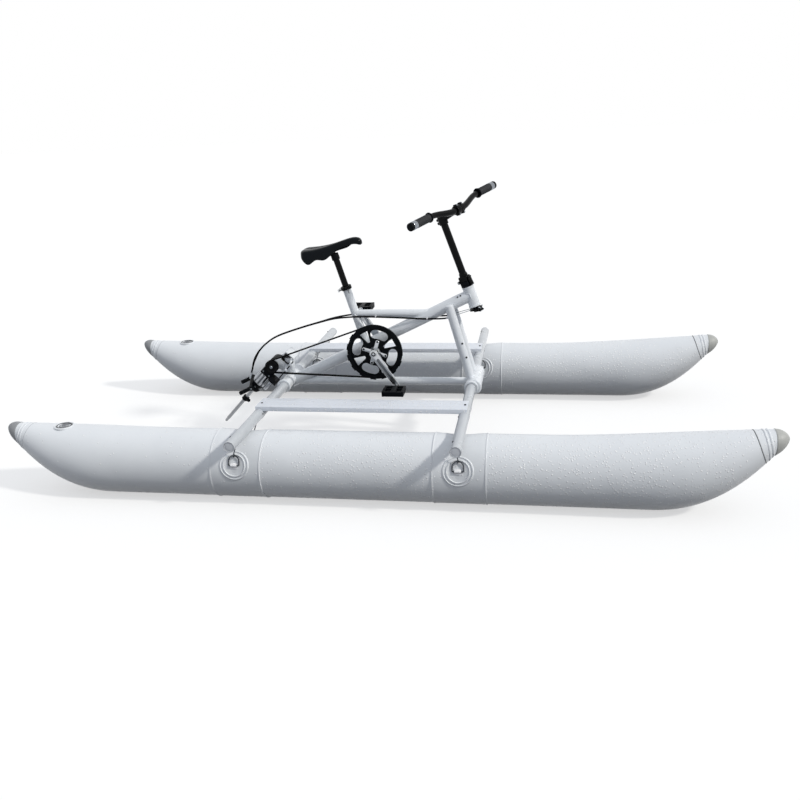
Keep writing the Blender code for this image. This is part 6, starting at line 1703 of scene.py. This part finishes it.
def saddle_grid(stations):
    """Closed sections along the saddle.

    Each section is a smooth curve through points of (share of the half width, drop from the crown). The
    skirt hangs lower in two bumps of the form exp(-u^2), and the groove is a third. Both ends round off:
    the section shrinks towards its middle height as the square root of the distance left.
    """
    share = stations[:, None]
    edge = 0.0265 + 0.0055 * (1 - share)
    skirt = edge + 0.03 * np.exp(-(((share - 0.155) / 0.1) ** 2))
    skirt = skirt + 0.026 * np.exp(-(((share - 0.4) / 0.13) ** 2))
    drop = np.concatenate([
        0 * share, 0.0004 + 0 * share, 0.0028 + 0 * share, 0.0105 + 0 * share, skirt * 0.62, skirt * 0.96,
        skirt * 0.97, edge - 0.004 + 0.25 * (skirt - edge), edge - 0.006,
    ], 1)
    wide = saddle_half_width(share) * np.array([[0.0, 0.28, 0.66, 0.93, 1.0, 0.985, 0.88, 0.66, 0.0]])
    groove = 0.0075 * np.exp(-((share - 0.26) / 0.24) ** 2)
    drop[:, :1] += groove
    drop[:, 1:2] += 0.25 * groove
    end = np.minimum(1.0, np.sqrt(np.maximum(0.0, np.minimum(share / 0.1, (1 - share) / 0.055))))
    closing = np.sin(end * pi / 2)
    middle = 0.5 * edge
    drop = middle + (drop - middle) * (0.1 + 0.9 * closing)
    wide = wide * closing
    half = np.stack([wide, saddle_top(share) - drop], -1)
    mirrored = half[:, -2:0:-1] * (-1, 1)
    outline = np.concatenate([half, mirrored], 1)
    rounded = np.stack([curve_through(section, 5, closed=True) for section in outline])
    x = np.broadcast_to((TAIL_X + SADDLE_LENGTH * share)[..., None], rounded.shape[:2] + (1,))
    return np.concatenate([x, rounded], -1)


ease = np.linspace(0, pi, 70)
stations = (1 - np.cos(ease)) / 2
saddle_skin = skin(saddle_grid(stations))
saddle = piece("saddle_cover", [saddle_skin], saddle_vinyl, "seat", ["saddle"], sharp=70)


def rail_path(s):
    """Line of one saddle rail under the shell; its ends turn up into it."""
    shares = np.array([0.1, 0.16, 0.34, 0.5, 0.66, 0.76, 0.84])
    rise = np.array([0.012, 0, 0, 0, 0, 0, 0.01])
    y = 0.022 - np.maximum(0.0, shares - 0.3) * 0.03
    points = np.column_stack([TAIL_X + SADDLE_LENGTH * shares, s * y, saddle_top(shares) - 0.0325 + rise])
    return curve_through(points, 6)


rails = [wire(rail_path(s), 0.0035, 16) for s in (-1, 1)]
head_profile = [
    (0.0139, 0.397), (0.0172, 0.397), (0.0178, 0.402), (0.017, 0.425), (0, 0.425), (0, 0.4135),
    (0.0139, 0.4135),
]
clamp_head = [turned_ring(head_profile, 0.0012, SEAT_FOOT, SEAT_AXIS, 48)]
jaw_at = rail_path(1)[18]
jaw = np.array([jaw_at[0], 0.0, jaw_at[2] - 0.0045])
jaw_profile = [(0, -0.023), (0.0085, -0.023), (0.0098, -0.021), (0.0098, 0.021), (0.0085, 0.023), (0, 0.023)]
clamp_head.append(turned(jaw_profile, 0.001, jaw, LEFT, 40))
for y, end in ((0.023, 0.028), (-0.023, -0.028)):
    clamp_head.append(turned([(0, y), (0.0072, y), (0.0072, end), (0, end)], 0.0008, jaw, LEFT, 6))
piece("saddle_rails", rails, black_anodised, "seat")
piece("saddle_clamp_head", clamp_head, black_casting, "seat", ["saddle_clamp"])

# %% [markdown]
# ## Steering cables
# Two sheathed cables run along the top tube, over the rear in an arch, and down to the arms of the leg's
# steering head. Ahead of SLEEVE_START each is bare wire, from a stop to the disc under the head tube. Two
# white ties hold the pair to the top tube.

# %% Cables and ties
CABLE_ROUTE = np.array([
    (0.354, 0.015, 0.595), (0.34, 0.016, 0.5905), (0.3, 0.02, 0.578), (0.252, 0.0225, 0.5625),
    (0.19, 0.0275, 0.56), (0.13, 0.03, 0.562), (0.04, 0.03, 0.5665), (-0.06, 0.029, 0.57),
    (-0.12, 0.027, 0.571), (-0.172, 0.024, 0.569), (-0.249, 0.012, 0.559), (-0.319, 0.0045, 0.541),
    (-0.414, 0.0032, 0.514), (-0.51, 0.0032, 0.482), (-0.563, 0.0032, 0.454), (-0.61, 0.004, 0.414),
    (-0.64, 0.01, 0.37),
])
CABLE_END = {
    "right": [(-0.648, -0.028, 0.33), (-0.655, -0.044, 0.296)],
    "left": [(-0.662, 0.024, 0.33), (-0.678, 0.044, 0.296)],
}
SLEEVE_START = 0.262
for side, sign in SIDES.items():
    points = np.concatenate([CABLE_ROUTE * (1, sign, 1), CABLE_END[side]])
    route = curve_through(points, 10)
    path = route[route[:, 0] < SLEEVE_START]
    sleeve = wire(path, 0.0037, 14)
    cable = piece(f"cable_sleeve_{side}", [sleeve], cable_sleeve, None,
                  [f"steering_cable_{side}"])
    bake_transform(cable)
    bare = route[route[:, 0] > SLEEVE_START - 0.01]
    direction = unit(path[1] - path[0])
    stop = bar(path[0] - direction * 0.004, path[0] + direction * 0.012, 0.0042, 0.001, 24)
    piece(f"bare_cable_{side}", [wire(bare, 0.0014, 12), stop], stainless, "frame")
    direction = unit(path[-1] - path[-4])
    ferrule = bar(path[-1] - direction * 0.02, path[-1] + direction * 0.008, 0.0042, 0.001, 24)
    piece(f"cable_end_{side}", [ferrule], stainless, "leg")
TIE_LIFT = 0.0035
ties = []
strip = [(-0.0022, -0.0006), (0.0022, -0.0006), (0.0022, 0.0006), (-0.0022, 0.0006)]
strip = soften(strip, 0.0003, closed=True)
for x in (-0.06, 0.165):
    y, z = (float(np.interp(-x, -CABLE_ROUTE[:, 0], CABLE_ROUTE[:, i])) for i in (1, 2))
    y, low, high = y + TIE_LIFT, z - TIE_LIFT, z + TIE_LIFT
    tie_line = soften([(-y, low), (y, low), (y, high), (-y, high)], 0.003, 4, closed=True)
    ring_path = np.column_stack([np.full(len(tie_line), x), tie_line])
    outward = np.cross(FORE, unit(np.roll(ring_path, -1, 0) - np.roll(ring_path, 1, 0)))
    ties.append(sweep(ring_path, strip, outward, loop=True))
piece("cable_ties", ties, webbing, "frame")
